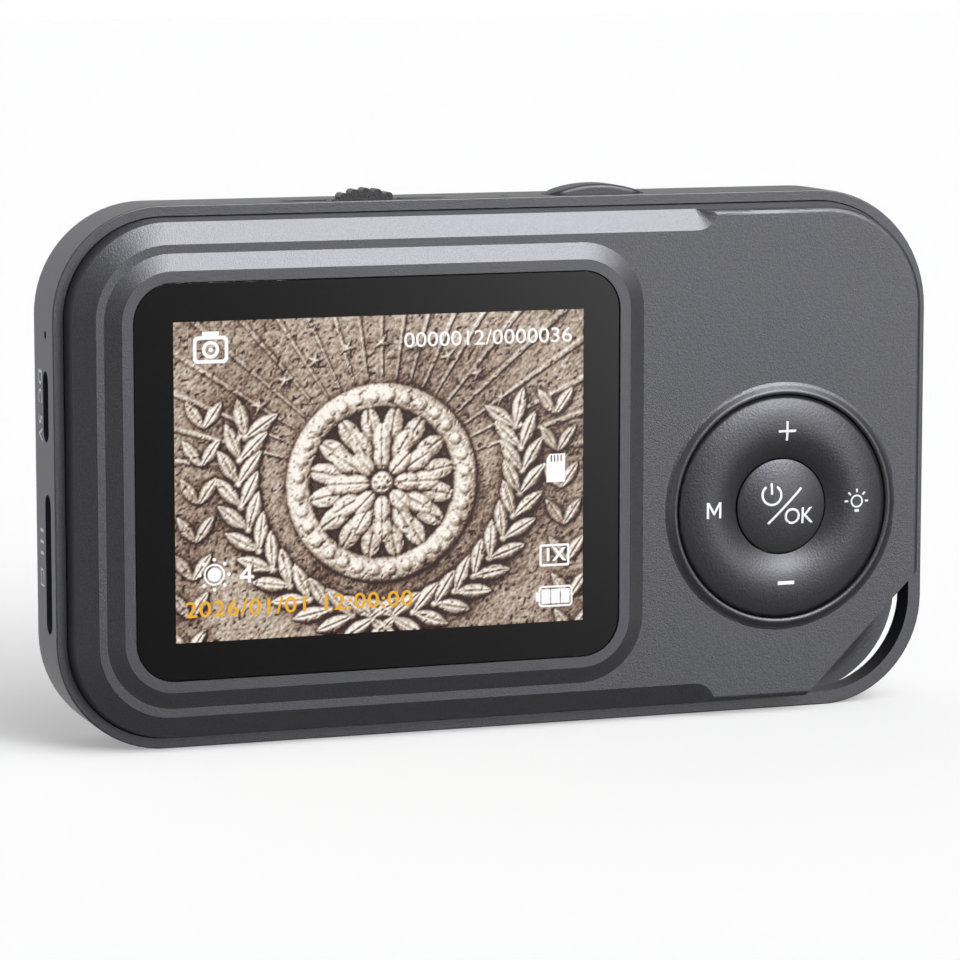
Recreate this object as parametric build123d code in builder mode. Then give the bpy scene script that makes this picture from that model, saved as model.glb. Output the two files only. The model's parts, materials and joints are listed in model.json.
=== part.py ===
from build123d import *
import math
import os

# Pocket digital microscope with a display: it stands on its long lower edge.
# X runs to the right as the display is read, Z runs up, and the back is towards +Y.
# Depths are measured from the rim of the rear shell: positive towards the back,
# negative towards the person who reads the display. Millimetres throughout.

# ---- driving dimensions -------------------------------------------------------
# body
body_width = 106.4
body_height = 61.6
corner_r = 12.6
grip_corner_r = 14.2
shell_depth = 11.4
shell_wall = 1.2
back_wall = 1.5
back_edge_r = 3.0
rim_edge_r = 0.15

# front cover
cover_gap = 0.1
cover_wall = 1.2
cover_draft = 10
panel_rise = 3.2
panel_wall = 1.6
panel_edge_r = 0.75
skirt_depth = 0.8

# outer bevel, which runs round the display end of the cover
bevel_inset = 1.65
bevel_run = 2.5
bevel_rise = 0.9
bevel_end_x = 22.7

# display window and its bezel
window_x = -16.05
window_width = 57.9
window_height = 45.0
window_r = 4.6
bezel_land = 1.25
bezel_slope = 1.9
bezel_rise = 0.63
glass_thickness = 0.8
glass_recess = 0.15
glass_gap = 0.06
seat_wall = 0.75
view_width = 50.0
view_height = 37.4

# display module
lcd_width = 60.3
lcd_height = 42.7
lcd_thickness = 2.4
lcd_lead = 3.0
lcd_corner = 0.4
picture_width = 48.96
gasket_thickness = 0.25
gasket_width = 1.0
tray_sheet = 0.3
tray_lip = 1.6
tray_gap = 0.1
tray_foot_width = 3.0
tray_foot_height = 2.0
tray_foot_inset = 4.0
tray_foot_spread = 17.0
fit_gap = 0.15

# flex of the display and the connector that it plugs into
flex_width = 18.0
flex_sheet = 0.2
flex_lead = 0.9
flex_grip = 1.0
flex_lift = 0.8
connector_lead = 3.6
connector_width = 3.4
connector_height = 1.0
connector_margin = 1.0
connector_mouth = 1.2
connector_floor = 0.35

# main board
board_front = 1.5
board_thickness = 1.0
board_edge_gap = 1.3
board_low_gap = 3.4
board_corner_r = 9.0
board_grip_gap = 1.0
board_part_gap = 0.5

# chips on the back of the main board, placed from the edges of the body
chip_height = 1.2
chip_size = 9.0
memory_width = 6.0
memory_height = 5.0
driver_width = 4.0
driver_height = 3.0
chip_side = 14.7
chip_top = 12.1
memory_rise = 4.8
driver_side = 7.2
driver_top = 14.6
driver_drop = 5.8

# key ring: rocking ring, round key in its middle, and the raised collar
ring_offset = 1.125
ring_z = 24.7
ring_r = 13.15
ring_gap = 0.15
ring_crown = 0.95
ring_crown_r = 9.4
ring_edge_rise = 0.2
ring_bore_sink = 0.15
ring_hub_wall = 0.35
collar_width = 1.4
collar_rise = 0.55
collar_sink = 0.3
key_r = 5.55
key_gap = 0.2
key_crown = 0.75
key_edge_sink = 0.05
key_stem_gap = 0.05
key_travel = 0.4
switch_circle_r = 9.1
switch_size = 4.2
switch_height = 0.7
plunger_height = 0.25
plunger_r = 0.9
rock_room = 0.45
flange_thickness = 0.55
flange_width = 0.75
mat_thickness = 0.4
mat_margin = 0.6
mat_connector_gap = 0.4
mat_bore_margin = 1.5
mat_post_gap = 0.6
mat_rib_length = 3.6
mat_rib_width = 1.6
mat_rib_gap = 0.06
ring_post_r = 1.3
key_stem_r = 1.4
key_flange_width = 1.0
key_lift = 0.1
press_gap = 0.3

# shutter button in the upper edge
shutter_x = 12.0
shutter_depth = 3.1
shutter_length = 12.0
shutter_width = 3.9
shutter_crown = 1.2
shutter_gap = 0.2
shutter_travel = 0.5
shutter_edge_r = 0.45
wing_height = 0.8
wing_length = 0.9
wing_width = 2.5
shutter_switch_drop = 4.2
shutter_switch_width = 4.6
shutter_switch_height = 3.2
shutter_switch_depth = 2.0
shutter_plunger = 0.7
shutter_plunger_width = 1.8
shutter_plunger_depth = 1.0
shutter_stem_width = 2.6
shutter_stem_depth = 1.6
shutter_rest_gap = 0.1

# focus wheel in the upper edge
wheel_x = -16.2
wheel_r = 7.4
wheel_stand = 1.35
wheel_depth = 1.1
wheel_thickness = 2.0
knurl_count = 32
knurl_r = 0.5
slot_gap = 0.15
scoop_length = 20.6
scoop_sink = 0.8
pin_r = 1.0
running_gap = 0.05

# focus gears
gear_module = 0.5
pinion_teeth = 16
ring_teeth = 38
pressure_angle = 20
gear_backlash = 0.08
pinion_depth = 3.4
pinion_length = 3.0
gear_depth = 4.8
gear_width = 1.2

# lens, its sleeve and the cam that moves it
barrel_r = 5.95
barrel_front = 6.0
barrel_length = 7.0
barrel_wall = 1.05
stop_r = 3.0
guide_wall = 1.15
sleeve_wall = 1.3
cam_pin_r = 0.6
cam_gap = 0.05
cam_rim = 0.325
cam_turn = 60
cam_steps = 12
lens_edge = 0.8
lens_bulge = 0.45
lens_land = 0.9
spacer_length = 1.4
retainer_length = 0.9
mount_plate = 1.2
mount_plate_r = 10.0
mount_screw_circle_r = 12.6

# sensor
sensor_board_size = 11.4
sensor_board_thickness = 0.8
sensor_size = 6.0
sensor_height = 0.9
filter_thickness = 0.3
filter_inset = 0.3
sensor_flex_width = 8.0
sensor_flex_run = 2.2
sensor_connector_width = 9.6
sensor_connector_height = 2.2
sensor_connector_depth = 1.0

# nose with the ring of lamps, on the back
nose_length = 7.0
nose_base_r = 13.4
nose_rim_r = 12.4
nose_bore_r = 11.0
nose_chamber_r = 11.4
nose_shoulder_r = 10.2
nose_shoulder = 0.6
nose_chamber = 3.6
nose_window_thickness = 1.0
lamp_board_thickness = 0.8
lamp_count = 8
lamp_size = 2.0
lamp_height = 0.8
lead_r = 0.4
lead_turn = 4.0
lead_angle = 225

# battery
battery_width = 34.0
battery_height = 38.0
battery_thickness = 5.2
battery_x = 21.5
battery_rise = 0.2
battery_pad_thickness = 0.3
battery_pad_side = 4.0
battery_pad_end = 5.0
battery_edge_r = 1.6
battery_lead_r = 0.5
battery_lead_pitch = 1.6
battery_plug_x = 30.0
battery_plug_rise = 3.2
battery_plug_width = 5.0
battery_plug_height = 3.0
battery_plug_depth = 3.4

# openings in the display end wall
power_rise = 8.3
power_depth = 3.6
power_length = 8.0
power_slot = 2.4
power_shell_length = 5.6
power_shell_wall = 0.35
power_shell_room = 1.2
power_tongue = 0.5
power_tongue_length = 3.8
power_tongue_width = 4.8
card_drop = 9.55
card_depth = 3.2
card_length = 15.9
card_slot = 2.6
card_socket_length = 14.4
card_socket_width = 14.5
card_socket_depth = 1.9
card_room_length = 12.8
card_room_width = 11.4
card_room_depth = 1.1
card_lid = 0.4
lamp_hole_rise = 16.4
lamp_hole_depth = 3.4
lamp_hole_r = 0.45
lamp_pipe_sink = 0.2
lamp_pipe_reach = 1.4
charge_lamp_size = 1.6
mic_x = 0.7
mic_depth = 1.9
mic_hole_r = 0.5
mic_r = 1.5
mic_seat = 0.7
mic_notch = 0.7

# lanyard eyelet across the lower corner under the key ring
eyelet_reach = 12.8
eyelet_wall = 1.3
eyelet_bar = 1.6
eyelet_bar_depth = 3.1
eyelet_depth = 7.6
eyelet_end_r = 3.0
eyelet_shoulder = 1.2
eyelet_pocket_r = 1.0

# screws
screw_r = 1.0
screw_head_r = 1.6
screw_head = 1.2
screw_sink = 3.0
screw_room = 0.15
boss_r = 2.4
boss_split = 4.0
small_screw_r = 0.8
small_head_r = 1.5
small_head = 0.7
post_r = 1.9
thread_gap = 0.02
case_screw_length = 8.0
board_screw_length = 3.4
mount_screw_length = 4.4
screw_inset = 6.6
grip_screw_side = 7.8
grip_screw_top = 7.4
low_screw_side = 23.7
board_screw_end = 9.0
board_screw_side = 12.6
board_screw_grip_side = 4.8
board_screw_grip_rise = 7.7
board_screw_display_side = 5.8
board_screw_display_drop = 0.4

# ---- places worked out from the dimensions ---------------------------------------
mid_z = body_height / 2
display_end = -body_width / 2
grip_end = body_width / 2
cover_inset = shell_wall + cover_gap
panel_inside = -(panel_rise - panel_wall)
bezel_front = -(panel_rise + bezel_rise)
glass_front = bezel_front + glass_recess
glass_back = glass_front + glass_thickness
seat_back = glass_back + seat_wall
lcd_front = seat_back + gasket_thickness
lcd_back = lcd_front + lcd_thickness
lcd_x = window_x - picture_width / 2 - lcd_lead + lcd_width / 2
tray_back = lcd_back + tray_sheet
board_back = board_front + board_thickness
ring_front = -(panel_rise + ring_crown)
cavity_back = shell_depth - back_wall
nose_tip = shell_depth + nose_length
rim_y = (-ring_front - nose_tip) / 2

wheel_z = body_height + wheel_stand - wheel_r
pinion_r = gear_module * pinion_teeth / 2
gear_r = gear_module * ring_teeth / 2
lens_x = wheel_x
lens_z = wheel_z - pinion_r - gear_r
guide_r = barrel_r + running_gap + guide_wall
sleeve_r = guide_r + running_gap + sleeve_wall
sleeve_start = gear_depth + gear_width
sleeve_end = cavity_back - slot_gap
slot_half = cam_pin_r + cam_gap
cam_depth = (sleeve_start + sleeve_end) / 2
lens_travel = (sleeve_end - sleeve_start) / 2 - cam_rim - slot_half
guide_end = shell_depth + lamp_board_thickness
mount_back = gear_depth - running_gap
mount_front = mount_back - mount_plate

bezel_side = bezel_land + bezel_slope
ring_x = (window_x + window_width / 2 + bezel_side + grip_end) / 2 - ring_offset
power_z = mid_z + power_rise
card_z = mid_z - card_drop
lamp_hole_z = mid_z + lamp_hole_rise
battery_z = mid_z + battery_rise
lcd_right = lcd_x + lcd_width / 2
connector_x = lcd_right + connector_lead

switch_top = board_front - switch_height
plunger_top = switch_top - plunger_height
mat_back = plunger_top - press_gap
mat_front = mat_back - mat_thickness
flange_front = panel_inside + rock_room
flange_back = flange_front + flange_thickness

case_screw_points = [
    (display_end + screw_inset, screw_inset),
    (display_end + screw_inset, body_height - screw_inset),
    (grip_end - grip_screw_side, body_height - grip_screw_top),
    (grip_end - low_screw_side, screw_inset),
]
board_screw_points = [
    (ring_x - board_screw_side, board_screw_end),
    (ring_x - board_screw_side, body_height - board_screw_end),
    (grip_end - board_screw_grip_side, mid_z + board_screw_grip_rise),
    (display_end + board_screw_display_side, mid_z - board_screw_display_drop),
]
mount_screw_points = [
    (lens_x + mount_screw_circle_r * math.cos(a), lens_z + mount_screw_circle_r * math.sin(a))
    for a in (math.radians(180), math.radians(270), math.radians(0))
]
lamp_circle_r = (guide_r + nose_chamber_r) / 2
lead_circle_r = nose_chamber_r - 2 * fit_gap - lead_r
lead_points = [
    (lens_x + lead_circle_r * math.cos(a), lens_z + lead_circle_r * math.sin(a))
    for a in (math.radians(lead_angle - lead_turn), math.radians(lead_angle + lead_turn))
]


# ---- helpers ---------------------------------------------------------------------
def section(depth):
    """Plane across the body at a depth from the rim; extruding goes towards the reader."""
    return Plane.XZ.offset(-(rim_y + depth))


def radial(x, z, depth=0.0):
    """Half plane through an axis along Y at (x, z): its x is the radius, its y the depth."""
    return Plane(origin=(x, rim_y + depth, z), x_dir=(1, 0, 0), z_dir=(0, 0, 1))


def axis_at(x, z):
    """Axis along Y, pointing to the back."""
    return Axis((x, 0, z), (0, 1, 0))


def body_outline(inset):
    """Outline of the body, moved in by inset."""
    with Locations((0, mid_z)):
        Rectangle(body_width - 2 * inset, body_height - 2 * inset)
    corners = vertices().sort_by(lambda v: v.X + v.Y)
    fillet(corners[:-1], radius=corner_r - inset)
    grip = vertices().sort_by(lambda v: v.X + v.Y)[-1]
    fillet(grip, radius=grip_corner_r - inset)


def eyelet_corner(reach, mode=Mode.ADD):
    """Triangle over the lower corner that the lanyard uses, its long side at 45 degrees."""
    leg = reach * math.sqrt(2)
    x = body_width / 2
    Polygon((x - leg, 0), (x, leg), (x + leg, leg), (x + leg, -leg), (x - leg, -leg), align=None, mode=mode)


def rounded(x, z, width, height, r, mode=Mode.ADD):
    """Rounded rectangle about (x, z)."""
    with Locations((x, z)):
        RectangleRounded(width, height, r, mode=mode)


def window_outline(grow):
    """Outline of the display window, grown by the given distance."""
    rounded(window_x, mid_z, window_width + 2 * grow, window_height + 2 * grow, window_r + grow)


def gear_outline(x, z, teeth, first_tooth, mode=Mode.ADD):
    """Spur gear outline with involute flanks, one tooth pointing at first_tooth degrees."""
    pitch_r = gear_module * teeth / 2
    tip_r = pitch_r + gear_module
    root_r = pitch_r - 1.25 * gear_module
    base_r = pitch_r * math.cos(math.radians(pressure_angle))
    start_r = max(base_r, root_r)
    involute = math.tan(math.radians(pressure_angle)) - math.radians(pressure_angle)
    half_tooth = math.pi / (2 * teeth) - gear_backlash / (2 * pitch_r)
    flank = []
    for r in (start_r, start_r + (tip_r - start_r) / 3, start_r + (tip_r - start_r) * 2 / 3, tip_r):
        roll = math.sqrt(max((r / base_r) ** 2 - 1, 0))
        flank.append((r, half_tooth + involute - (roll - math.atan(roll))))
    points = []
    for tooth in range(teeth):
        middle = math.radians(first_tooth) + tooth * 2 * math.pi / teeth
        rising = [(root_r, -flank[0][1])] + [(r, -a) for r, a in flank]
        falling = [(r, a) for r, a in reversed(flank)] + [(root_r, flank[0][1])]
        for r, a in rising + falling:
            points.append((x + r * math.cos(middle + a), z + r * math.sin(middle + a)))
    Polygon(*points, align=None, mode=mode)


def save(piece, name):
    """Label a finished piece and write its file."""
    piece.part.label = name
    export_step(piece.part, f"parts/{name}.step")


os.makedirs("parts", exist_ok=True)

# ---- front cover -------------------------------------------------------------------
with BuildPart() as front_cover:
    # drafted block from the rim to the panel, its edge rounded over
    with BuildSketch(section(0)):
        body_outline(cover_inset)
    extrude(amount=panel_rise, taper=cover_draft)
    fillet(faces().sort_by(Axis.Y)[0].edges(), radius=panel_edge_r)

    # outer bevel: swept round the display end, each end run out as part of a cone
    bevel_x = body_width / 2 - bevel_inset - bevel_run
    bevel_z = mid_z - bevel_inset - bevel_run
    bevel_r = corner_r - bevel_inset - bevel_run
    with BuildLine(section(-panel_rise)):
        FilletPolyline(
            (bevel_end_x, mid_z + bevel_z),
            (-bevel_x, mid_z + bevel_z),
            (-bevel_x, mid_z - bevel_z),
            (bevel_end_x, mid_z - bevel_z),
            radius=bevel_r,
        )
    outside = bevel_run + bevel_inset
    slope = bevel_rise / bevel_run
    start = Plane(
        origin=(bevel_end_x, rim_y - panel_rise, mid_z + bevel_z), x_dir=(0, 0, 1), z_dir=(-1, 0, 0)
    )
    with BuildSketch(start):
        Polygon((0, 0), (outside, outside * slope), (outside, -panel_rise), (0, -panel_rise), align=None)
    sweep(mode=Mode.SUBTRACT)
    for side in (1, -1):
        apex_z = mid_z + side * (bevel_z + bevel_run)
        with BuildSketch(radial(bevel_end_x, apex_z, -panel_rise)):
            Polygon((0, bevel_rise), (bevel_run, 0), (bevel_run, -panel_rise), (0, -panel_rise), align=None)
        revolve(axis=axis_at(bevel_end_x, apex_z), revolution_arc=360, mode=Mode.SUBTRACT)

    # raised bezel round the window
    with BuildSketch(section(-panel_rise)):
        window_outline(bezel_side)
    with BuildSketch(section(bezel_front)):
        window_outline(bezel_land)
    loft()

    # raised collar round the key ring
    collar_in = ring_r + ring_gap
    with BuildSketch(radial(ring_x, ring_z, -panel_rise)):
        with BuildLine():
            crest = (collar_in + 0.28 * collar_width, -collar_rise)
            shoulder = (collar_in, -0.6 * collar_rise)
            Spline(shoulder, crest, (collar_in + collar_width, 0), tangents=[(0.2, -1), (1, 0.15)])
            foot = collar_in + collar_width
            Polyline((foot, 0), (foot, collar_sink), (collar_in, collar_sink), shoulder)
        make_face()
    revolve(axis=axis_at(ring_x, ring_z))

    # skirt that plugs into the rear shell, left out along the eyelet
    with BuildSketch(section(skirt_depth)):
        body_outline(cover_inset)
        eyelet_corner(eyelet_reach + eyelet_wall + cover_gap, mode=Mode.SUBTRACT)
    extrude(amount=skirt_depth)

    # hollow behind the panel and the deeper bed of the display module
    with BuildSketch(section(skirt_depth)):
        body_outline(cover_inset + cover_wall)
        eyelet_corner(eyelet_reach + eyelet_wall, mode=Mode.SUBTRACT)
    extrude(amount=skirt_depth - panel_inside, mode=Mode.SUBTRACT)
    with BuildSketch(section(panel_inside)):
        bed_gap = fit_gap + tray_sheet
        rounded(lcd_x, mid_z, lcd_width + 2 * bed_gap, lcd_height + 2 * bed_gap, 0.5)
    extrude(amount=panel_inside - seat_back, mode=Mode.SUBTRACT)

    # glass seat and the view opening through it
    with BuildSketch(section(glass_back)):
        window_outline(0)
    extrude(amount=glass_back - bezel_front, mode=Mode.SUBTRACT)
    with BuildSketch(section(seat_back)):
        rounded(window_x, mid_z, view_width, view_height, 0.6)
    extrude(amount=seat_wall, mode=Mode.SUBTRACT)

    # opening for the key ring
    with BuildSketch(section(panel_inside)):
        with Locations((ring_x, ring_z)):
            Circle(collar_in)
    extrude(amount=panel_wall + collar_rise, mode=Mode.SUBTRACT)

    # bosses for the case screws and posts for the board screws
    with BuildSketch(section(boss_split)):
        with Locations(*case_screw_points):
            Circle(boss_r)
    extrude(amount=boss_split - panel_inside)
    with BuildSketch(section(board_front)):
        with Locations(*board_screw_points):
            Circle(post_r)
    extrude(amount=board_front - panel_inside)
    with BuildSketch(section(boss_split)):
        with Locations(*case_screw_points):
            Circle(screw_r + thread_gap)
    extrude(amount=boss_split - panel_inside, mode=Mode.SUBTRACT)
    with BuildSketch(section(board_front)):
        with Locations(*board_screw_points):
            Circle(small_screw_r + thread_gap)
    extrude(amount=board_front - panel_inside, mode=Mode.SUBTRACT)

    # corner taken off for the lanyard
    with BuildSketch(section(boss_split)):
        body_outline(0)
        with BuildSketch(mode=Mode.PRIVATE) as kept:
            body_outline(0)
            eyelet_corner(eyelet_reach, mode=Mode.SUBTRACT)
            near_cut = vertices().filter_by(
                lambda v: abs(v.X - v.Y - body_width / 2 + eyelet_reach * math.sqrt(2)) < 0.01
            )
            fillet(near_cut, radius=eyelet_end_r)
        add(kept.sketch, mode=Mode.SUBTRACT)
    extrude(amount=boss_split + panel_rise + bezel_rise, mode=Mode.SUBTRACT)
save(front_cover, "front_cover")

# ---- rear shell ----------------------------------------------------------------------
with BuildPart() as rear_shell:
    with BuildSketch(section(shell_depth)):
        body_outline(0)
    extrude(amount=shell_depth)
    fillet(faces().sort_by(Axis.Y)[-1].edges(), radius=back_edge_r)
    fillet(faces().sort_by(Axis.Y)[0].edges(), radius=rim_edge_r)

    # hollow, leaving a solid corner for the eyelet
    with BuildSketch(section(cavity_back)):
        body_outline(shell_wall)
        eyelet_corner(eyelet_reach + eyelet_wall, mode=Mode.SUBTRACT)
    extrude(amount=cavity_back, mode=Mode.SUBTRACT)

    # eyelet: a pocket behind the bar, open to the side under the bar
    with BuildSketch(section(eyelet_depth)):
        body_outline(eyelet_bar)
        eyelet_corner(eyelet_reach, mode=Mode.INTERSECT)
        ends = vertices().sort_by(lambda v: v.X + v.Y)
        fillet([ends[0], ends[-1]], radius=eyelet_pocket_r)
    extrude(amount=eyelet_depth, mode=Mode.SUBTRACT)
    with BuildSketch(section(eyelet_depth)):
        eyelet_corner(eyelet_reach - eyelet_shoulder)
    extrude(amount=eyelet_depth - eyelet_bar_depth, mode=Mode.SUBTRACT)

    # finger scoop along the focus wheel and the slot that the wheel stands in
    slot_width = wheel_thickness + 2 * slot_gap
    slot_depth = wheel_depth + wheel_thickness / 2
    scoop_r = (scoop_length**2 / 4 + scoop_sink**2) / (2 * scoop_sink)
    with BuildSketch(section(slot_depth + slot_width / 2)):
        with Locations((wheel_x, body_height - scoop_sink + scoop_r)):
            Circle(scoop_r)
    extrude(amount=slot_width, mode=Mode.SUBTRACT)
    with BuildSketch(section(slot_depth + slot_width / 2)):
        with Locations((wheel_x, wheel_z)):
            Circle(wheel_r + 2 * slot_gap)
    extrude(amount=slot_width, mode=Mode.SUBTRACT)

    # opening of the shutter button and the hole over the microphone
    top = Plane.XY.offset(body_height)
    with BuildSketch(top):
        with Locations((shutter_x, rim_y + shutter_depth)):
            SlotOverall(shutter_length + 2 * shutter_gap, shutter_width + 2 * shutter_gap)
        with Locations((mic_x, rim_y + mic_depth)):
            Circle(mic_hole_r)
    extrude(amount=-2 * shell_wall, mode=Mode.SUBTRACT)

    # openings in the display end wall: charging lamp, power socket and card slot
    side = Plane(origin=(-body_width / 2, rim_y, 0), x_dir=(0, 1, 0), z_dir=(1, 0, 0))
    with BuildSketch(side):
        with Locations((lamp_hole_depth, lamp_hole_z)):
            Circle(lamp_hole_r)
        with Locations((power_depth, power_z)):
            SlotOverall(power_length, power_slot, rotation=90)
        with Locations((card_depth, card_z)):
            SlotOverall(card_length, card_slot, rotation=90)
    extrude(amount=2 * shell_wall, mode=Mode.SUBTRACT)

    # hole that the lens looks through, posts of the lens mount, boss of the wheel pin
    with BuildSketch(section(shell_depth)):
        with Locations((lens_x, lens_z)):
            Circle(guide_r + fit_gap)
        with Locations(*lead_points):
            Circle(lead_r + fit_gap)
    extrude(amount=back_wall, mode=Mode.SUBTRACT)
    with BuildSketch(section(cavity_back)):
        with Locations(*mount_screw_points):
            Circle(post_r)
    extrude(amount=cavity_back - mount_back)
    with BuildSketch(section(cavity_back)):
        with Locations((wheel_x, wheel_z)):
            Circle(2.2 * pin_r)
    extrude(amount=cavity_back - pinion_depth - pinion_length - slot_gap)
    with BuildSketch(section(cavity_back)):
        with Locations(*mount_screw_points):
            Circle(small_screw_r + thread_gap)
        with Locations((wheel_x, wheel_z)):
            Circle(pin_r + thread_gap)
    extrude(amount=cavity_back - mount_back, mode=Mode.SUBTRACT)

    # bosses of the case screws, counterbored from the back
    with BuildSketch(section(cavity_back)):
        with Locations(*case_screw_points):
            Circle(boss_r)
    extrude(amount=cavity_back - boss_split)
    with BuildSketch(section(shell_depth)):
        with Locations(*case_screw_points):
            Circle(screw_head_r + screw_room)
    extrude(amount=screw_sink, mode=Mode.SUBTRACT)
    with BuildSketch(section(shell_depth)):
        with Locations(*case_screw_points):
            Circle(screw_r + screw_room)
    extrude(amount=shell_depth - boss_split, mode=Mode.SUBTRACT)
save(rear_shell, "rear_shell")

# ---- window glass, gasket, display module and its tray -------------------------------
with BuildPart() as window_glass:
    with BuildSketch(section(glass_back)):
        window_outline(-glass_gap)
    extrude(amount=glass_thickness)
    chamfer(faces().sort_by(Axis.Y)[0].edges(), length=0.12)
save(window_glass, "window_glass")

with BuildPart() as display_gasket:
    with BuildSketch(section(lcd_front)):
        rounded(window_x, mid_z, view_width + 2 * gasket_width, view_height + 2 * gasket_width, 0.8)
        rounded(window_x, mid_z, view_width, view_height, 0.3, mode=Mode.SUBTRACT)
    extrude(amount=gasket_thickness)
save(display_gasket, "display_gasket")

with BuildPart() as lcd_panel:
    with BuildSketch(section(lcd_back)):
        with Locations((lcd_x, mid_z)):
            Rectangle(lcd_width, lcd_height)
    extrude(amount=lcd_thickness)
    chamfer(edges().filter_by(Axis.Y), length=lcd_corner)
save(lcd_panel, "lcd_panel")

with BuildPart() as lcd_tray:
    with BuildSketch(section(tray_back)):
        with Locations((lcd_x, mid_z)):
            Rectangle(lcd_width + 2 * (tray_gap + tray_sheet), lcd_height + 2 * (tray_gap + tray_sheet))
    extrude(amount=tray_sheet + tray_lip)
    with BuildSketch(section(lcd_back)):
        with Locations((lcd_x, mid_z)):
            Rectangle(lcd_width + 2 * tray_gap, lcd_height + 2 * tray_gap)
    extrude(amount=tray_lip, mode=Mode.SUBTRACT)
    # lip left out where the flex comes through
    with BuildSketch(section(lcd_back)):
        with Locations((lcd_right, mid_z)):
            Rectangle(4 * fit_gap + 4 * tray_sheet, flex_width + 2 * connector_margin)
    extrude(amount=tray_lip, mode=Mode.SUBTRACT)
    # feet that stand on the main board
    with BuildSketch(section(board_front)):
        with Locations((lcd_x, mid_z)):
            with GridLocations(lcd_width - 2 * tray_foot_inset, tray_foot_spread, 2, 2):
                Rectangle(tray_foot_width, tray_foot_height)
    extrude(amount=board_front - tray_back)
save(lcd_tray, "lcd_tray")

mouth_back = board_front - connector_floor
mouth_height = flex_sheet + 2 * thread_gap
with BuildPart() as flex_connector:
    with BuildSketch(section(board_front)):
        with Locations((connector_x, mid_z)):
            Rectangle(connector_width, flex_width + 2 * connector_margin)
    extrude(amount=connector_height)
    with BuildSketch(section(mouth_back)):
        with Locations((connector_x - connector_width / 2, mid_z)):
            Rectangle(2 * connector_mouth, flex_width + 2 * fit_gap)
    extrude(amount=mouth_height, mode=Mode.SUBTRACT)
save(flex_connector, "flex_connector")

connector_face = connector_x - connector_width / 2
flex_start = lcd_back - flex_lift
flex_end = mouth_back - thread_gap - flex_sheet
with BuildPart() as lcd_flex:
    with BuildSketch(Plane.XY.offset(mid_z - flex_width / 2)):
        Polygon(
            (lcd_right, rim_y + flex_start),
            (lcd_right + flex_lead, rim_y + flex_start),
            (connector_face - flex_sheet, rim_y + flex_end),
            (connector_face + flex_grip, rim_y + flex_end),
            (connector_face + flex_grip, rim_y + flex_end + flex_sheet),
            (connector_face - 1.5 * flex_sheet, rim_y + flex_end + flex_sheet),
            (lcd_right + flex_lead - flex_sheet / 2, rim_y + flex_start + flex_sheet),
            (lcd_right, rim_y + flex_start + flex_sheet),
            align=None,
        )
    extrude(amount=flex_width)
save(lcd_flex, "lcd_flex")

# ---- main board and what is soldered to it ---------------------------------------------
board_left = display_end + board_edge_gap + shell_wall
board_right = grip_end - board_edge_gap - shell_wall - board_grip_gap
board_top = body_height - board_low_gap
with BuildPart() as main_board:
    with BuildSketch(section(board_back)):
        with Locations(((board_left + board_right) / 2, (board_low_gap + board_top) / 2)):
            RectangleRounded(board_right - board_left, board_top - board_low_gap, board_corner_r)
        eyelet_corner(eyelet_reach + eyelet_wall + board_part_gap, mode=Mode.SUBTRACT)
        notch_width = 2 * (wheel_r + 2 * board_part_gap)
        notch_low = wheel_z - wheel_r - 2 * board_part_gap
        with Locations((wheel_x, (notch_low + board_top) / 2 + board_part_gap)):
            Rectangle(notch_width, board_top - notch_low + 2 * board_part_gap, mode=Mode.SUBTRACT)
        with Locations((mic_x, board_top)):
            Rectangle(2 * (mic_r + board_part_gap), 2 * mic_notch, mode=Mode.SUBTRACT)
        with Locations(*case_screw_points):
            Circle(boss_r + board_part_gap, mode=Mode.SUBTRACT)
        with Locations(*board_screw_points):
            Circle(small_screw_r + screw_room, mode=Mode.SUBTRACT)
    extrude(amount=board_thickness)
save(main_board, "main_board")

with BuildPart() as board_chips:
    with BuildSketch(section(board_back + chip_height)):
        with Locations((display_end + chip_side, body_height - chip_top)):
            Rectangle(chip_size, chip_size)
        with Locations((display_end + chip_side, mid_z + memory_rise)):
            Rectangle(memory_width, memory_height)
        driver_x = grip_end - driver_side
        with Locations((driver_x, body_height - driver_top), (driver_x, mid_z - driver_drop)):
            Rectangle(driver_width, driver_height)
    extrude(amount=chip_height)
save(board_chips, "board_chips")

key_points = [(ring_x, ring_z)] + [
    (ring_x + switch_circle_r * math.cos(a), ring_z + switch_circle_r * math.sin(a))
    for a in (0, math.pi / 2, math.pi, 3 * math.pi / 2)
]
with BuildPart() as key_switches:
    with BuildSketch(section(board_front)):
        with Locations(*key_points):
            Rectangle(switch_size, switch_size)
    extrude(amount=switch_height)
    with BuildSketch(section(switch_top)):
        with Locations(*key_points):
            Circle(plunger_r)
    extrude(amount=plunger_height)
save(key_switches, "key_switches")

shutter_switch_top = body_height - shutter_switch_drop
with BuildPart() as shutter_switch:
    with BuildSketch(section(board_back + shutter_switch_depth)):
        with Locations((shutter_x, shutter_switch_top - shutter_switch_height / 2)):
            Rectangle(shutter_switch_width, shutter_switch_height)
    extrude(amount=shutter_switch_depth)
    with BuildSketch(section(board_back + (shutter_switch_depth + shutter_plunger_depth) / 2)):
        with Locations((shutter_x, shutter_switch_top + shutter_plunger / 2)):
            Rectangle(shutter_plunger_width, shutter_plunger)
    extrude(amount=shutter_plunger_depth)
save(shutter_switch, "shutter_switch")

mic_top = body_height - shell_wall
with BuildPart() as microphone:
    with BuildSketch(Plane.XY.offset(mic_top)):
        with Locations((mic_x, rim_y + skirt_depth + fit_gap + mic_r)):
            Circle(mic_r)
    extrude(amount=-(mic_top - board_top + mic_seat))
save(microphone, "microphone")

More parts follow.
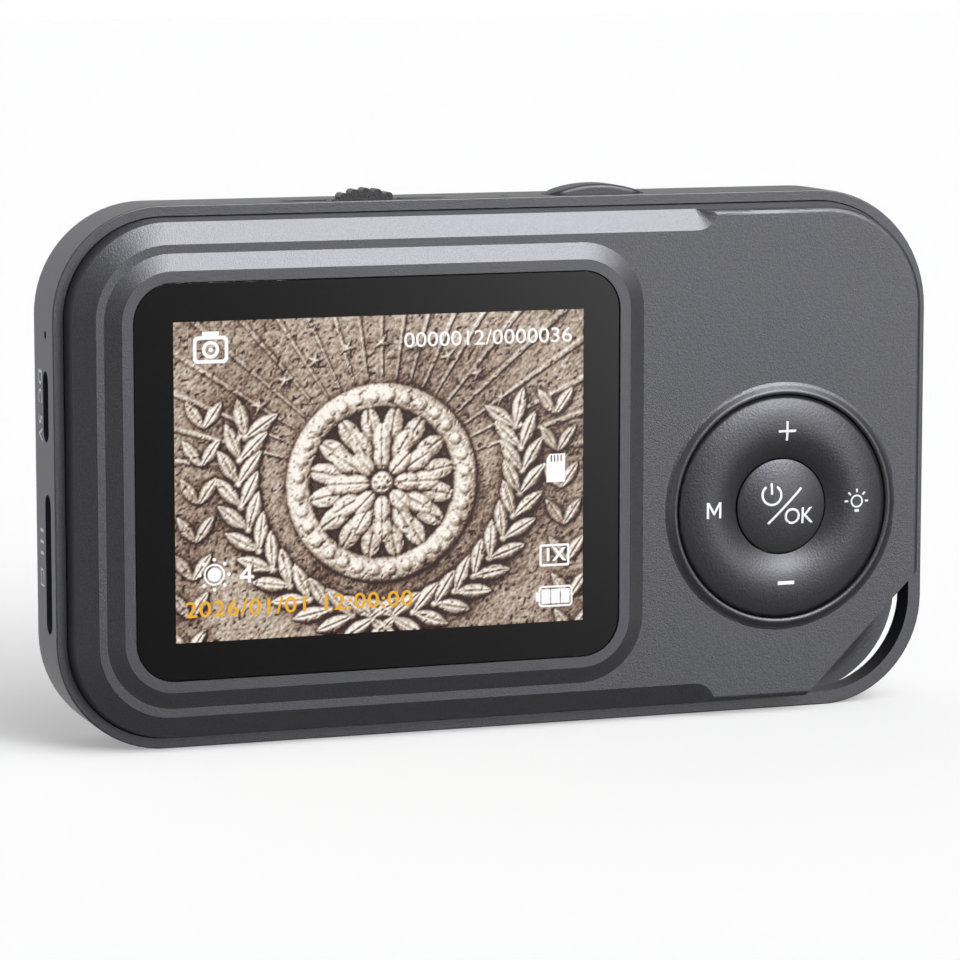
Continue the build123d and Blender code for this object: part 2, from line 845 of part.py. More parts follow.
pipe_start = display_end + lamp_pipe_sink
pipe_end = display_end + shell_wall + lamp_pipe_reach
with BuildPart() as lamp_pipe:
    with BuildSketch(Plane(origin=(pipe_start, rim_y, 0), x_dir=(0, 1, 0), z_dir=(1, 0, 0))):
        with Locations((lamp_hole_depth, lamp_hole_z)):
            Circle(lamp_hole_r - thread_gap)
    extrude(amount=pipe_end - pipe_start)
save(lamp_pipe, "lamp_pipe")

with BuildPart() as charge_lamp:
    with BuildSketch(section(board_back + charge_lamp_size)):
        with Locations((pipe_end + charge_lamp_size / 2 + fit_gap, lamp_hole_z)):
            Rectangle(charge_lamp_size, charge_lamp_size)
    extrude(amount=charge_lamp_size)
save(charge_lamp, "charge_lamp")

socket_face = display_end + shell_wall + fit_gap
power_room = power_slot - 2 * power_shell_wall
power_back = power_depth + power_slot / 2
with BuildPart() as power_socket:
    with BuildSketch(section(power_back)):
        with Locations((socket_face + power_shell_length / 2, power_z)):
            Rectangle(power_shell_length, power_length - power_shell_wall)
    extrude(amount=power_back - board_back)
    with BuildSketch(section(power_back - power_shell_wall)):
        with Locations((socket_face + (power_shell_length - power_shell_room) / 2, power_z)):
            Rectangle(power_shell_length - power_shell_room, power_length - 3 * power_shell_wall)
    extrude(amount=power_room, mode=Mode.SUBTRACT)
    with BuildSketch(section(power_depth + power_tongue / 2)):
        tongue_end = socket_face + power_shell_length - power_shell_room
        with Locations((tongue_end - power_tongue_length / 2, power_z)):
            Rectangle(power_tongue_length, power_tongue_width)
    extrude(amount=power_tongue)
save(power_socket, "power_socket")

with BuildPart() as card_socket:
    with BuildSketch(section(board_back + card_socket_depth)):
        with Locations((socket_face + card_socket_length / 2, card_z)):
            Rectangle(card_socket_length, card_socket_width)
    extrude(amount=card_socket_depth)
    with BuildSketch(section(board_back + card_socket_depth - card_lid)):
        with Locations((socket_face + card_room_length / 2, card_z)):
            Rectangle(card_room_length, card_room_width)
    extrude(amount=card_room_depth, mode=Mode.SUBTRACT)
save(card_socket, "card_socket")

# ---- key ring, round key and the rubber mat that carries them ----------------------------
mat_reach = ring_x - connector_x - connector_width / 2 - mat_connector_gap
with BuildPart() as keypad_mat:
    with BuildSketch(section(mat_back)):
        with Locations((ring_x, ring_z)):
            Circle(ring_r + mat_margin)
            Rectangle(2 * mat_reach, 2 * (ring_r + mat_margin), mode=Mode.INTERSECT)
            Circle(key_r + mat_bore_margin, mode=Mode.SUBTRACT)
        with Locations((ring_x, ring_z + switch_circle_r), (ring_x, ring_z - switch_circle_r)):
            Circle(ring_post_r + mat_post_gap, mode=Mode.SUBTRACT)
    extrude(amount=mat_thickness)
    # ribs under the ring along its rocking line
    with BuildSketch(section(mat_front)):
        with Locations((ring_x + switch_circle_r, ring_z), (ring_x - switch_circle_r, ring_z)):
            RectangleRounded(mat_rib_length, mat_rib_width, mat_rib_width / 4)
    extrude(amount=mat_front - flange_back - mat_rib_gap)
save(keypad_mat, "keypad_mat")

with BuildPart() as ring_button:
    with BuildSketch(radial(ring_x, ring_z)):
        with BuildLine():
            bore = key_r + key_gap
            lip = (ring_r, -(panel_rise + ring_edge_rise))
            inner_lip = (bore, -(panel_rise - ring_bore_sink))
            crown = (ring_crown_r, ring_front)
            TangentArc(crown, inner_lip, tangent=(-1, 0))
            TangentArc(crown, lip, tangent=(1, 0))
            Polyline(
                lip,
                (ring_r, flange_front),
                (ring_r + flange_width, flange_front),
                (ring_r + flange_width, flange_back),
                (key_r + mat_bore_margin, flange_back),
                (key_r + mat_bore_margin, flange_front - ring_hub_wall),
                (bore, flange_front - ring_hub_wall),
                inner_lip,
            )
        make_face()
    revolve(axis=axis_at(ring_x, ring_z))
    with BuildSketch(section(mat_back)):
        with Locations((ring_x, ring_z + switch_circle_r), (ring_x, ring_z - switch_circle_r)):
            Circle(ring_post_r)
    extrude(amount=mat_back - flange_back)
save(ring_button, "ring_button")

key_edge = -(panel_rise - key_edge_sink)
key_stem_end = plunger_top - key_travel - key_stem_gap
with BuildPart() as ok_button:
    with BuildSketch(radial(ring_x, ring_z)):
        with BuildLine():
            key_top = key_edge - key_crown
            ThreePointArc((0, key_top), (key_r * 0.55, key_edge - key_crown * 0.72), (key_r, key_edge))
            Polyline(
                (key_r, key_edge),
                (key_r, flange_front - key_lift),
                (key_r + key_flange_width, flange_front - key_lift),
                (key_r + key_flange_width, flange_back - key_lift),
                (key_stem_r, flange_back - key_lift),
                (key_stem_r, key_stem_end),
                (0, key_stem_end),
                (0, key_top),
            )
        make_face()
    revolve(axis=axis_at(ring_x, ring_z))
save(ok_button, "ok_button")

# ---- shutter button ------------------------------------------------------------------------
wing_top = body_height - shell_wall - fit_gap
stem_end = shutter_switch_top + shutter_plunger + shutter_travel + shutter_rest_gap
shutter_top = body_height + shutter_crown
shutter_arch_r = (shutter_length**2 / 4 + shutter_crown**2) / (2 * shutter_crown)
with BuildPart() as shutter_button:
    with BuildSketch(Plane.XY.offset(wing_top - wing_height)):
        with Locations((shutter_x, rim_y + shutter_depth)):
            SlotOverall(shutter_length, shutter_width)
    extrude(amount=shutter_top - wing_top + wing_height)
    with BuildSketch(section(shutter_depth + shutter_width)):
        with Locations((shutter_x, shutter_top - shutter_arch_r)):
            Circle(shutter_arch_r)
    extrude(amount=2 * shutter_width, mode=Mode.INTERSECT)
    fillet(faces().sort_by(Axis.Z)[-1].edges(), radius=shutter_edge_r)
    with BuildSketch(Plane.XY.offset(wing_top - wing_height)):
        with Locations((shutter_x, rim_y + shutter_depth)):
            Rectangle(shutter_length + 2 * wing_length, wing_width)
    extrude(amount=wing_height)
    with BuildSketch(Plane.XY.offset(stem_end)):
        with Locations((shutter_x, rim_y + board_back + shutter_switch_depth / 2)):
            Rectangle(shutter_stem_width, shutter_stem_depth)
    extrude(amount=wing_top - wing_height - stem_end)
save(shutter_button, "shutter_button")

# ---- focus wheel with its pinion, and the pin it turns on ---------------------------------
pin_head_r = 1.7 * pin_r
pin_head = 0.4
with BuildPart() as focus_wheel:
    with BuildSketch(section(wheel_depth + wheel_thickness)):
        with Locations((wheel_x, wheel_z)):
            Circle(wheel_r - knurl_r)
            with PolarLocations(wheel_r - knurl_r, knurl_count, start_angle=90):
                Circle(knurl_r)
    extrude(amount=wheel_thickness)
    with BuildSketch(section(pinion_depth)):
        with Locations((wheel_x, wheel_z)):
            Circle(pinion_r - 1.25 * gear_module)
    extrude(amount=pinion_depth - wheel_depth - wheel_thickness)
    with BuildSketch(section(pinion_depth + pinion_length)):
        gear_outline(wheel_x, wheel_z, pinion_teeth, -90)
    extrude(amount=pinion_length)
    with BuildSketch(section(pinion_depth + pinion_length)):
        with Locations((wheel_x, wheel_z)):
            Circle(pin_r + running_gap)
    extrude(amount=pinion_depth + pinion_length - wheel_depth, mode=Mode.SUBTRACT)
    with BuildSketch(section(wheel_depth + pin_head + slot_gap)):
        with Locations((wheel_x, wheel_z)):
            Circle(pin_head_r + slot_gap)
    extrude(amount=pin_head + slot_gap, mode=Mode.SUBTRACT)
save(focus_wheel, "focus_wheel")

with BuildPart() as wheel_pin:
    with BuildSketch(section(cavity_back)):
        with Locations((wheel_x, wheel_z)):
            Circle(pin_r)
    extrude(amount=cavity_back - wheel_depth)
    with BuildSketch(section(wheel_depth + pin_head)):
        with Locations((wheel_x, wheel_z)):
            Circle(pin_head_r)
    extrude(amount=pin_head)
save(wheel_pin, "wheel_pin")

# ---- lens mount: plate with three ears and the tube that guides the barrel ---------------
cam_pins = Plane(origin=(lens_x, rim_y + cam_depth, lens_z), x_dir=(0, 1, 0), z_dir=(0, 0, 1))
with BuildPart() as lens_mount:
    with BuildSketch(section(mount_back)):
        with Locations((lens_x, lens_z)):
            Circle(mount_plate_r)
        with Locations(*mount_screw_points):
            Circle(post_r + 0.2)
        for x, z in mount_screw_points:
            with Locations(((x + lens_x) / 2, (z + lens_z) / 2)):
                Rectangle(abs(x - lens_x) + 2 * post_r, abs(z - lens_z) + 2 * post_r)
        with Locations((wheel_x, wheel_z)):
            Circle(pinion_r + gear_module + 0.4, mode=Mode.SUBTRACT)
        with Locations((lens_x, lens_z)):
            Circle(barrel_r - barrel_wall, mode=Mode.SUBTRACT)
        with Locations(*mount_screw_points):
            Circle(small_screw_r + screw_room, mode=Mode.SUBTRACT)
    extrude(amount=mount_plate)
    with BuildSketch(section(guide_end)):
        with Locations((lens_x, lens_z)):
            Circle(guide_r)
            Circle(barrel_r + running_gap, mode=Mode.SUBTRACT)
    extrude(amount=guide_end - mount_back)
    # straight slots that stop the barrel from turning
    guide_slot = 2 * (lens_travel + slot_half)
    with BuildSketch(cam_pins):
        SlotOverall(guide_slot, 2 * slot_half)
    extrude(amount=guide_r + 1, both=True, mode=Mode.SUBTRACT)
save(lens_mount, "lens_mount")

# ---- focus ring: gear rim and the sleeve with two helical cam slots ------------------------
cam_slope = lens_travel / (math.radians(cam_turn) * (sleeve_r - sleeve_wall / 2))
cam_step = 2 * cam_turn / cam_steps
cut_length = 2 * (sleeve_r * math.tan(math.radians(cam_step / 2)) + cam_gap)


def across_slot(angle):
    """Plane that faces out through a slot, turned by angle from rest, its x along the slot."""
    turn = math.radians(angle)
    return Plane(
        origin=(lens_x, rim_y + cam_depth + lens_travel * (angle % 180 - 90) / cam_turn, lens_z),
        x_dir=(-math.sin(turn), cam_slope, -math.cos(turn)),
        z_dir=(math.cos(turn), 0, -math.sin(turn)),
    )


with BuildPart() as focus_ring:
    with BuildSketch(section(gear_depth + gear_width)):
        gear_outline(lens_x, lens_z, ring_teeth, 90 + 180 / ring_teeth)
    extrude(amount=gear_width)
    with BuildSketch(section(sleeve_end)):
        with Locations((lens_x, lens_z)):
            Circle(sleeve_r)
    extrude(amount=sleeve_end - gear_depth)
    with BuildSketch(section(sleeve_end)):
        with Locations((lens_x, lens_z)):
            Circle(guide_r + running_gap)
    extrude(amount=sleeve_end - gear_depth, mode=Mode.SUBTRACT)
    # two slots, half a turn apart, milled in short straight cuts, with round ends;
    # a cam pin stands in the middle of each at rest
    for pin_angle in (90, 270):
        for step in range(cam_steps):
            with BuildSketch(across_slot(pin_angle - cam_turn + (step + 0.5) * cam_step)):
                Rectangle(cut_length, 2 * slot_half)
            extrude(amount=2 * sleeve_r, mode=Mode.SUBTRACT)
        for turn in (-cam_turn, cam_turn):
            with BuildSketch(across_slot(pin_angle + turn)):
                Circle(slot_half)
            extrude(amount=2 * sleeve_r, mode=Mode.SUBTRACT)
save(focus_ring, "focus_ring")

# ---- lens barrel with its cam pins, and the glass inside ---------------------------------
barrel_bore = barrel_r - barrel_wall
barrel_end = barrel_front + barrel_length
field_seat = barrel_front + 1.0
cam_pin_reach = guide_r + running_gap + 0.8 * sleeve_wall
with BuildPart() as lens_barrel:
    with BuildSketch(section(barrel_end)):
        with Locations((lens_x, lens_z)):
            Circle(barrel_r)
    extrude(amount=barrel_length)
    with BuildSketch(cam_pins):
        Circle(cam_pin_r)
    extrude(amount=cam_pin_reach, both=True)
    with BuildSketch(section(barrel_end)):
        with Locations((lens_x, lens_z)):
            Circle(barrel_bore)
    extrude(amount=barrel_end - field_seat, mode=Mode.SUBTRACT)
    with BuildSketch(section(field_seat)):
        with Locations((lens_x, lens_z)):
            Circle(stop_r)
    extrude(amount=field_seat - barrel_front, mode=Mode.SUBTRACT)
save(lens_barrel, "lens_barrel")


def lens(front, front_bulge, back_bulge):
    """Glass disc with a flat land round each face and a dome inside it."""
    r = barrel_bore - thread_gap
    dome_r = r - lens_land
    back = front + lens_edge
    with BuildPart() as glass:
        with BuildSketch(section(back)):
            with Locations((lens_x, lens_z)):
                Circle(r)
        extrude(amount=lens_edge)
        for face, bulge, sign in ((front, front_bulge, -1), (back, back_bulge, 1)):
            if bulge:
                ball_r = (dome_r**2 + bulge**2) / (2 * bulge)
                half_turn = math.asin(dome_r / ball_r) / 2
                tip = face + sign * bulge
                middle = (ball_r * math.sin(half_turn), tip - sign * ball_r * (1 - math.cos(half_turn)))
                with BuildSketch(radial(lens_x, lens_z)):
                    with BuildLine():
                        ThreePointArc((0, tip), middle, (dome_r, face))
                        Polyline((dome_r, face), (0, face), (0, tip))
                    make_face()
                revolve(axis=axis_at(lens_x, lens_z))
    return glass


def tube(front, length, outer_r, inner_r):
    """Plain ring about the lens axis."""
    with BuildPart() as ring:
        with BuildSketch(section(front + length)):
            with Locations((lens_x, lens_z)):
                Circle(outer_r)
                Circle(inner_r, mode=Mode.SUBTRACT)
        extrude(amount=length)
    return ring


spacer_r = barrel_bore - thread_gap
spacer_seat = field_seat + lens_edge
objective_seat = spacer_seat + spacer_length
save(lens(field_seat, 0, lens_bulge), "field_lens")
save(tube(spacer_seat, spacer_length, spacer_r, spacer_r - 0.8), "lens_spacer")
save(lens(objective_seat, lens_bulge, lens_bulge), "objective_lens")
save(tube(objective_seat + lens_edge, retainer_length, spacer_r, spacer_r - 0.9), "lens_retainer")

# ---- sensor in front of the lens ---------------------------------------------------------------
with BuildPart() as sensor_board:
    with BuildSketch(section(mount_front)):
        rounded(lens_x, lens_z, sensor_board_size, sensor_board_size, 1)
    extrude(amount=sensor_board_thickness)
save(sensor_board, "sensor_board")
with BuildPart() as image_sensor:
    with BuildSketch(section(mount_front + sensor_height)):
        with Locations((lens_x, lens_z)):
            Rectangle(sensor_size, sensor_size)
    extrude(amount=sensor_height)
save(image_sensor, "image_sensor")
with BuildPart() as sensor_filter:
    with BuildSketch(section(mount_front + sensor_height + filter_thickness)):
        with Locations((lens_x, lens_z)):
            Rectangle(sensor_size - 2 * filter_inset, sensor_size - 2 * filter_inset)
    extrude(amount=filter_thickness)
save(sensor_filter, "sensor_filter")

# flat flex from the sensor board down into its connector on the main board
sensor_foot = lens_z - sensor_board_size / 2
sensor_plug_top = sensor_foot - sensor_flex_run - flex_sheet
flex_depth = mount_front - sensor_board_thickness / 2
with BuildPart() as sensor_flex:
    with BuildSketch(section(flex_depth)):
        flex_low = sensor_plug_top - flex_grip
        with Locations((lens_x, (sensor_foot + flex_low) / 2)):
            Rectangle(sensor_flex_width, sensor_foot - flex_low)
    extrude(amount=flex_sheet)
save(sensor_flex, "sensor_flex")
with BuildPart() as sensor_connector:
    with BuildSketch(section(board_back + sensor_connector_depth)):
        with Locations((lens_x, sensor_plug_top - sensor_connector_height / 2)):
            Rectangle(sensor_connector_width, sensor_connector_height)
    extrude(amount=sensor_connector_depth)
    with BuildSketch(section(flex_depth + thread_gap)):
        with Locations((lens_x, sensor_plug_top)):
            Rectangle(sensor_flex_width + 2 * fit_gap, 2 * connector_mouth)
    extrude(amount=mouth_height, mode=Mode.SUBTRACT)
save(sensor_connector, "sensor_connector")

# ---- nose on the back: housing, lamp board, lamps and window --------------------------------
nose_seat = shell_depth + nose_chamber + nose_shoulder
with BuildPart() as lens_housing:
    with BuildSketch(radial(lens_x, lens_z)):
        with BuildLine():
            Polyline(
                (nose_chamber_r, shell_depth),
                (nose_base_r, shell_depth),
                (nose_base_r, shell_depth + 1.2),
                (nose_rim_r, nose_tip - 0.5),
                (nose_rim_r - 0.5, nose_tip),
                (nose_bore_r, nose_tip),
                (nose_bore_r, nose_seat),
                (nose_shoulder_r, nose_seat),
                (nose_shoulder_r, nose_seat - nose_shoulder),
                (nose_chamber_r, nose_seat - nose_shoulder),
                close=True,
            )
        make_face()
    revolve(axis=axis_at(lens_x, lens_z))
save(lens_housing, "lens_housing")
with BuildPart() as nose_window:
    with BuildSketch(section(nose_seat + nose_window_thickness)):
        with Locations((lens_x, lens_z)):
            Circle(nose_bore_r - thread_gap)
    extrude(amount=nose_window_thickness)
save(nose_window, "nose_window")
save(tube(shell_depth, lamp_board_thickness, nose_chamber_r - fit_gap, guide_r + fit_gap), "lamp_board")
lamp_front = shell_depth + lamp_board_thickness
with BuildPart() as ring_lamps:
    with BuildSketch(section(lamp_front + lamp_height)):
        with Locations((lens_x, lens_z)):
            with PolarLocations(lamp_circle_r, lamp_count):
                Rectangle(lamp_size, lamp_size)
    extrude(amount=lamp_height)
save(ring_lamps, "ring_lamps")
with BuildPart() as lamp_leads:
    with BuildSketch(section(shell_depth)):
        with Locations(*lead_points):
            Circle(lead_r)
    extrude(amount=shell_depth - board_back)
save(lamp_leads, "lamp_leads")

# ---- battery and its pad -------------------------------------------------------------------------
pad_front = cavity_back - battery_pad_thickness
with BuildPart() as battery_pad:
    with BuildSketch(section(cavity_back)):
        with Locations((battery_x, battery_z)):
            Rectangle(battery_width - 2 * battery_pad_side, battery_height - 2 * battery_pad_end)
    extrude(amount=battery_pad_thickness)
save(battery_pad, "battery_pad")
with BuildPart() as battery:
    with BuildSketch(section(pad_front)):
        with Locations((battery_x, battery_z)):
            Rectangle(battery_width, battery_height)
    extrude(amount=battery_thickness)
    fillet(edges().filter_by(Axis.Z), radius=battery_edge_r)
save(battery, "battery")

battery_top = battery_z + battery_height / 2
battery_plug_foot = battery_top + battery_plug_rise
battery_lead_depth = pad_front - battery_thickness + battery_edge_r / 2
with BuildPart() as battery_connector:
    with BuildSketch(section(board_back + battery_plug_depth)):
        with Locations((battery_plug_x, battery_plug_foot + battery_plug_height / 2)):
            Rectangle(battery_plug_width, battery_plug_height)
    extrude(amount=battery_plug_depth)
save(battery_connector, "battery_connector")
with BuildPart() as battery_leads:
    with BuildSketch(Plane.XY.offset(battery_top)):
        with Locations((battery_plug_x, rim_y + battery_lead_depth)):
            with GridLocations(battery_lead_pitch, 1, 2, 1):
                Circle(battery_lead_r)
    extrude(amount=battery_plug_rise)
save(battery_leads, "battery_leads")


# ---- screws ------------------------------------------------------------------------------------------
def screws(points, head_seat, length, shank_r, head_r, head_height, sign):
    """Screws that share one node; sign is 1 where the heads face the back, -1 to the front."""
    with BuildPart() as group:
        with BuildSketch(section(max(head_seat, head_seat - sign * length))):
            with Locations(*points):
                Circle(shank_r)
        extrude(amount=length)
        with BuildSketch(section(max(head_seat, head_seat + sign * head_height))):
            with Locations(*points):
                Circle(head_r)
        extrude(amount=head_height)
    return group


case_seat = shell_depth - screw_sink
save(
    screws(case_screw_points, case_seat, case_screw_length, screw_r, screw_head_r, screw_head, 1),
    "case_screws",
)
save(
    screws(board_screw_points, board_back, board_screw_length, small_screw_r, small_head_r, small_head, 1),
    "board_screws",
)
save(
    screws(mount_screw_points, mount_front, mount_screw_length, small_screw_r, small_head_r, small_head, -1),
    "mount_screws",
)
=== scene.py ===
# %% [markdown]
# # A pocket digital microscope, dressed for its portrait
# The construction comes packed from CAD: every shell, key, lens and screw is already in its place,
# in metres, as a node with its own name. This lesson gives each of them the surface that the real
# piece has, adds the printed marks and the lit picture, and lights the whole with a soft studio.

# %% Load the frame
import json
import math

import bmesh
import bpy
import numpy as np
from mathutils import Matrix, Vector
from mathutils.bvhtree import BVHTree

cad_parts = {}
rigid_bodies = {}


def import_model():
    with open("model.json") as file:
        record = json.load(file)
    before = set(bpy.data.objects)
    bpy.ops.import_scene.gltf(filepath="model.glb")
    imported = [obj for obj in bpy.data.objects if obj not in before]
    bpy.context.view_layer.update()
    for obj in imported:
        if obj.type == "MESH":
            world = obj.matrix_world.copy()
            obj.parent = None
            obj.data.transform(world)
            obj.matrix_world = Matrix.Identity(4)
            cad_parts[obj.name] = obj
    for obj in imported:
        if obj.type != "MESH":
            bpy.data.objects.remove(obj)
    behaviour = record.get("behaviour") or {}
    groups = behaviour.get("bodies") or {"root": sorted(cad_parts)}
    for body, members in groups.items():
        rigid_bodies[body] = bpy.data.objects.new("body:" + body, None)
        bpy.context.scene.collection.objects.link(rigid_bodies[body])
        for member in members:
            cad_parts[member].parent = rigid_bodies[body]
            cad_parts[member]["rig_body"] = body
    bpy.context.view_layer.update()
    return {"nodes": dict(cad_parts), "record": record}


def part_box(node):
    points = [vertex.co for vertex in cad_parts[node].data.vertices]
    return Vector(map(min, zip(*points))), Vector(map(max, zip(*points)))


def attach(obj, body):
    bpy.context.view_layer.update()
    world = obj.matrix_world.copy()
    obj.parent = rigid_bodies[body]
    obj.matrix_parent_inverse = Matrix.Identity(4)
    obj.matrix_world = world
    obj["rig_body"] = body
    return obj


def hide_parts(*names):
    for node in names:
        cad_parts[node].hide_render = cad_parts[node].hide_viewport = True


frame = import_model()
mm = 0.001

# %% [markdown]
# ## Camera
# A long lens from the front and a little above and to the left. The long focal length keeps the
# body's edges nearly parallel, as a product portrait wants them.

# %% Camera
focal_length = 158.88
camera_place = (-0.16383, -0.46402, 0.09470)
camera_turn = 19.40
camera_dip = 7.72

camera = bpy.data.objects.new("camera", bpy.data.cameras.new("camera"))
bpy.context.scene.collection.objects.link(camera)
bpy.context.scene.camera = camera
camera.data.lens = focal_length
camera.data.sensor_width = 36.0
camera.location = camera_place
camera.rotation_euler = (math.radians(90 - camera_dip), 0, math.radians(-camera_turn))
print("camera at", camera_place)

# %% [markdown]
# ## Studio light
# Satin metallic paint shows its surroundings: each slope of the housing is as bright as what it
# mirrors. So the light is a painted dome. Each softbox is a lobe: the cosine of the angle to its
# middle, raised to a power that sets how tight it is. Low down the dome stays dark, which
# draws the lower slopes. The camera itself sees plain white in its place, like a paper sweep.
#
# Two small helpers come first, because node trees are built in many of the cells below.

# %% Node helpers
def new_node(tree, kind, **settings):
    """Add a node and set its properties."""
    node = tree.nodes.new(kind)
    for key, value in settings.items():
        setattr(node, key, value)
    return node


def maths(tree, operation, first, second):
    """Math node; each input is a socket or a number."""
    node = new_node(tree, "ShaderNodeMath", operation=operation)
    for socket, value in zip(node.inputs, (first, second)):
        if isinstance(value, (int, float)):
            socket.default_value = value
        else:
            tree.links.new(value, socket)
    return node.outputs[0]


print("helpers for node trees ready")

# %% [markdown]
# The lobes are written as a list, so that a softbox can be moved, tightened or dimmed by changing
# one line. Their sum, on top of a low even glow, is the strength of the world's background.

# %% A dome of softboxes
softboxes = [
    # direction, tightness, strength
    ((0.33, -0.80, 0.50), 34, 15.0),
    ((0.46, -0.89, -0.01), 140, 6.0),
    ((0.55, -0.80, 0.20), 6, 0.45),
    ((-0.92, -0.38, 0.10), 14, 1.2),
    ((-0.20, 0.95, 0.20), 1.5, 0.8),
    ((0.33, -0.45, 0.83), 12, 4.5),
]
dome_floor = 0.12
paper_white = 1.0

world = bpy.data.worlds.new("studio")
bpy.context.scene.world = world
world.use_nodes = True
sky = world.node_tree
sky.nodes.clear()
direction = new_node(sky, "ShaderNodeTexCoord").outputs["Generated"]
glow = dome_floor
for middle, tightness, strength in softboxes:
    facing = new_node(sky, "ShaderNodeVectorMath", operation="DOT_PRODUCT")
    sky.links.new(direction, facing.inputs[0])
    facing.inputs[1].default_value = Vector(middle).normalized()
    lobe = maths(sky, "POWER", maths(sky, "MAXIMUM", facing.outputs["Value"], 0.0), tightness)
    glow = maths(sky, "ADD", maths(sky, "MULTIPLY", lobe, strength), glow)
seen = new_node(sky, "ShaderNodeLightPath").outputs["Is Camera Ray"]
dome = new_node(sky, "ShaderNodeBackground")
sky.links.new(glow, dome.inputs["Strength"])
paper = new_node(sky, "ShaderNodeBackground")
paper.inputs["Strength"].default_value = paper_white
paper.inputs["Color"].default_value = (1, 1, 1, 1)
choose = new_node(sky, "ShaderNodeMixShader")
sky.links.new(seen, choose.inputs[0])
sky.links.new(dome.outputs[0], choose.inputs[1])
sky.links.new(paper.outputs[0], choose.inputs[2])
sky.links.new(choose.outputs[0], new_node(sky, "ShaderNodeOutputWorld").inputs["Surface"])
print(len(softboxes), "softboxes")

# %% [markdown]
# ## Floor
# A pale sheet that is nearly white to the camera but keeps the contact shadow. Light Path lifts it
# for camera rays alone, so it throws no extra light on the housing. The sheet is left out of mirror
# reflections, so the lower slopes mirror the dark part of the dome.

# %% Floor
floor_size = 6.0
floor_lift = 0.30
paper_grey = 0.66
paper_roughness = 0.9

shape = bmesh.new()
bmesh.ops.create_grid(shape, x_segments=1, y_segments=1, size=floor_size / 2)
floor_mesh = bpy.data.meshes.new("floor")
shape.to_mesh(floor_mesh)
shape.free()
floor = bpy.data.objects.new("floor", floor_mesh)
bpy.context.scene.collection.objects.link(floor)
floor.visible_glossy = False
paper_finish = bpy.data.materials.new("paper")
paper_finish.use_nodes = True
tree = paper_finish.node_tree
sheet = tree.nodes["Principled BSDF"]
sheet.inputs["Base Color"].default_value = (paper_grey, paper_grey, paper_grey, 1)
sheet.inputs["Roughness"].default_value = paper_roughness
sheet.inputs["Specular IOR Level"].default_value = 0.0
sheet.inputs["Emission Color"].default_value = (1, 1, 1, 1)
seen = new_node(tree, "ShaderNodeLightPath").outputs["Is Camera Ray"]
tree.links.new(maths(tree, "MULTIPLY", seen, floor_lift), sheet.inputs["Emission Strength"])
floor_mesh.materials.append(paper_finish)
print("floor of", floor_size, "m")

# %% [markdown]
# ## Surfaces
# One recipe covers most moulded and metal pieces: a Principled shader whose colour and roughness
# wander a little with fine noise, and a bump from the same noise, all on Object coordinates in
# metres, so a grain of 0.1 mm is a scale of 10,000.

# %% The common recipe
finishes = {}
grain_detail = 3.0
roughness_spread = 0.16


def finish(name, colour, roughness, grain, depth, mottle=0.08, metallic=0.0,
           stretch=(1, 1, 1), **sockets):
    """Material with a fine grain: its size and depth in metres, its mottle a share of the colour."""
    material = bpy.data.materials.new(name)
    material.use_nodes = True
    tree = material.node_tree
    shader = tree.nodes["Principled BSDF"]
    shader.inputs["Metallic"].default_value = metallic
    for socket, value in sockets.items():
        shader.inputs[socket.replace("_", " ")].default_value = value
    place = new_node(tree, "ShaderNodeTexCoord").outputs["Object"]
    turn = new_node(tree, "ShaderNodeMapping")
    turn.inputs["Scale"].default_value = stretch
    tree.links.new(place, turn.inputs["Vector"])
    noise = new_node(tree, "ShaderNodeTexNoise")
    noise.inputs["Scale"].default_value = 1 / grain
    noise.inputs["Detail"].default_value = grain_detail
    tree.links.new(turn.outputs[0], noise.inputs["Vector"])
    blend = new_node(tree, "ShaderNodeMix", data_type="RGBA")
    tree.links.new(noise.outputs["Fac"], blend.inputs["Factor"])
    blend.inputs["A"].default_value = (*[c * (1 - 2 * mottle) for c in colour], 1)
    blend.inputs["B"].default_value = (*[min(c * (1 + 2 * mottle), 1) for c in colour], 1)
    tree.links.new(blend.outputs["Result"], shader.inputs["Base Color"])
    wander = maths(tree, "MULTIPLY", noise.outputs["Fac"], roughness_spread)
    uneven = maths(tree, "ADD", wander, roughness - roughness_spread / 2)
    tree.links.new(uneven, shader.inputs["Roughness"])
    bump = new_node(tree, "ShaderNodeBump")
    bump.inputs["Distance"].default_value = depth
    tree.links.new(noise.outputs["Fac"], bump.inputs["Height"])
    tree.links.new(bump.outputs["Normal"], shader.inputs["Normal"])
    finishes[name] = material
    return material


print("recipe for moulded and metal surfaces ready")

# %% [markdown]
# Each finish is one line: its colour, roughness, grain size and bump depth. The housing and the keys
# are a metallic satin paint, the nose and the wheel are black plastic, and the rest is what such
# parts are made of. The display's surround and the window's print are nearly black.

# %% Finishes
finish("shell_paint", (0.114, 0.114, 0.125), 0.35, 0.00018, 0.000026, mottle=0.16, metallic=0.80)
finish("key_paint", (0.086, 0.086, 0.095), 0.38, 0.00026, 0.000034, mottle=0.10, metallic=0.75)
finish("nose_black", (0.022, 0.022, 0.024), 0.42, 0.00025, 0.00002)
finish("wheel_black", (0.022, 0.022, 0.024), 0.27, 0.0003, 0.00003)
finish("steel_satin", (0.60, 0.60, 0.62), 0.30, 0.0004, 0.000004, metallic=1.0, stretch=(1, 1, 8))
finish("tray_bright", (0.68, 0.68, 0.69), 0.22, 0.0012, 0.000003, metallic=1.0, stretch=(1, 1, 6))
finish("black_oxide", (0.035, 0.034, 0.036), 0.38, 0.0003, 0.000006, metallic=0.9)
finish("key_rubber", (0.05, 0.05, 0.052), 0.75, 0.0004, 0.00001)
finish("chip_epoxy", (0.020, 0.020, 0.022), 0.55, 0.0002, 0.000008, mottle=0.2)
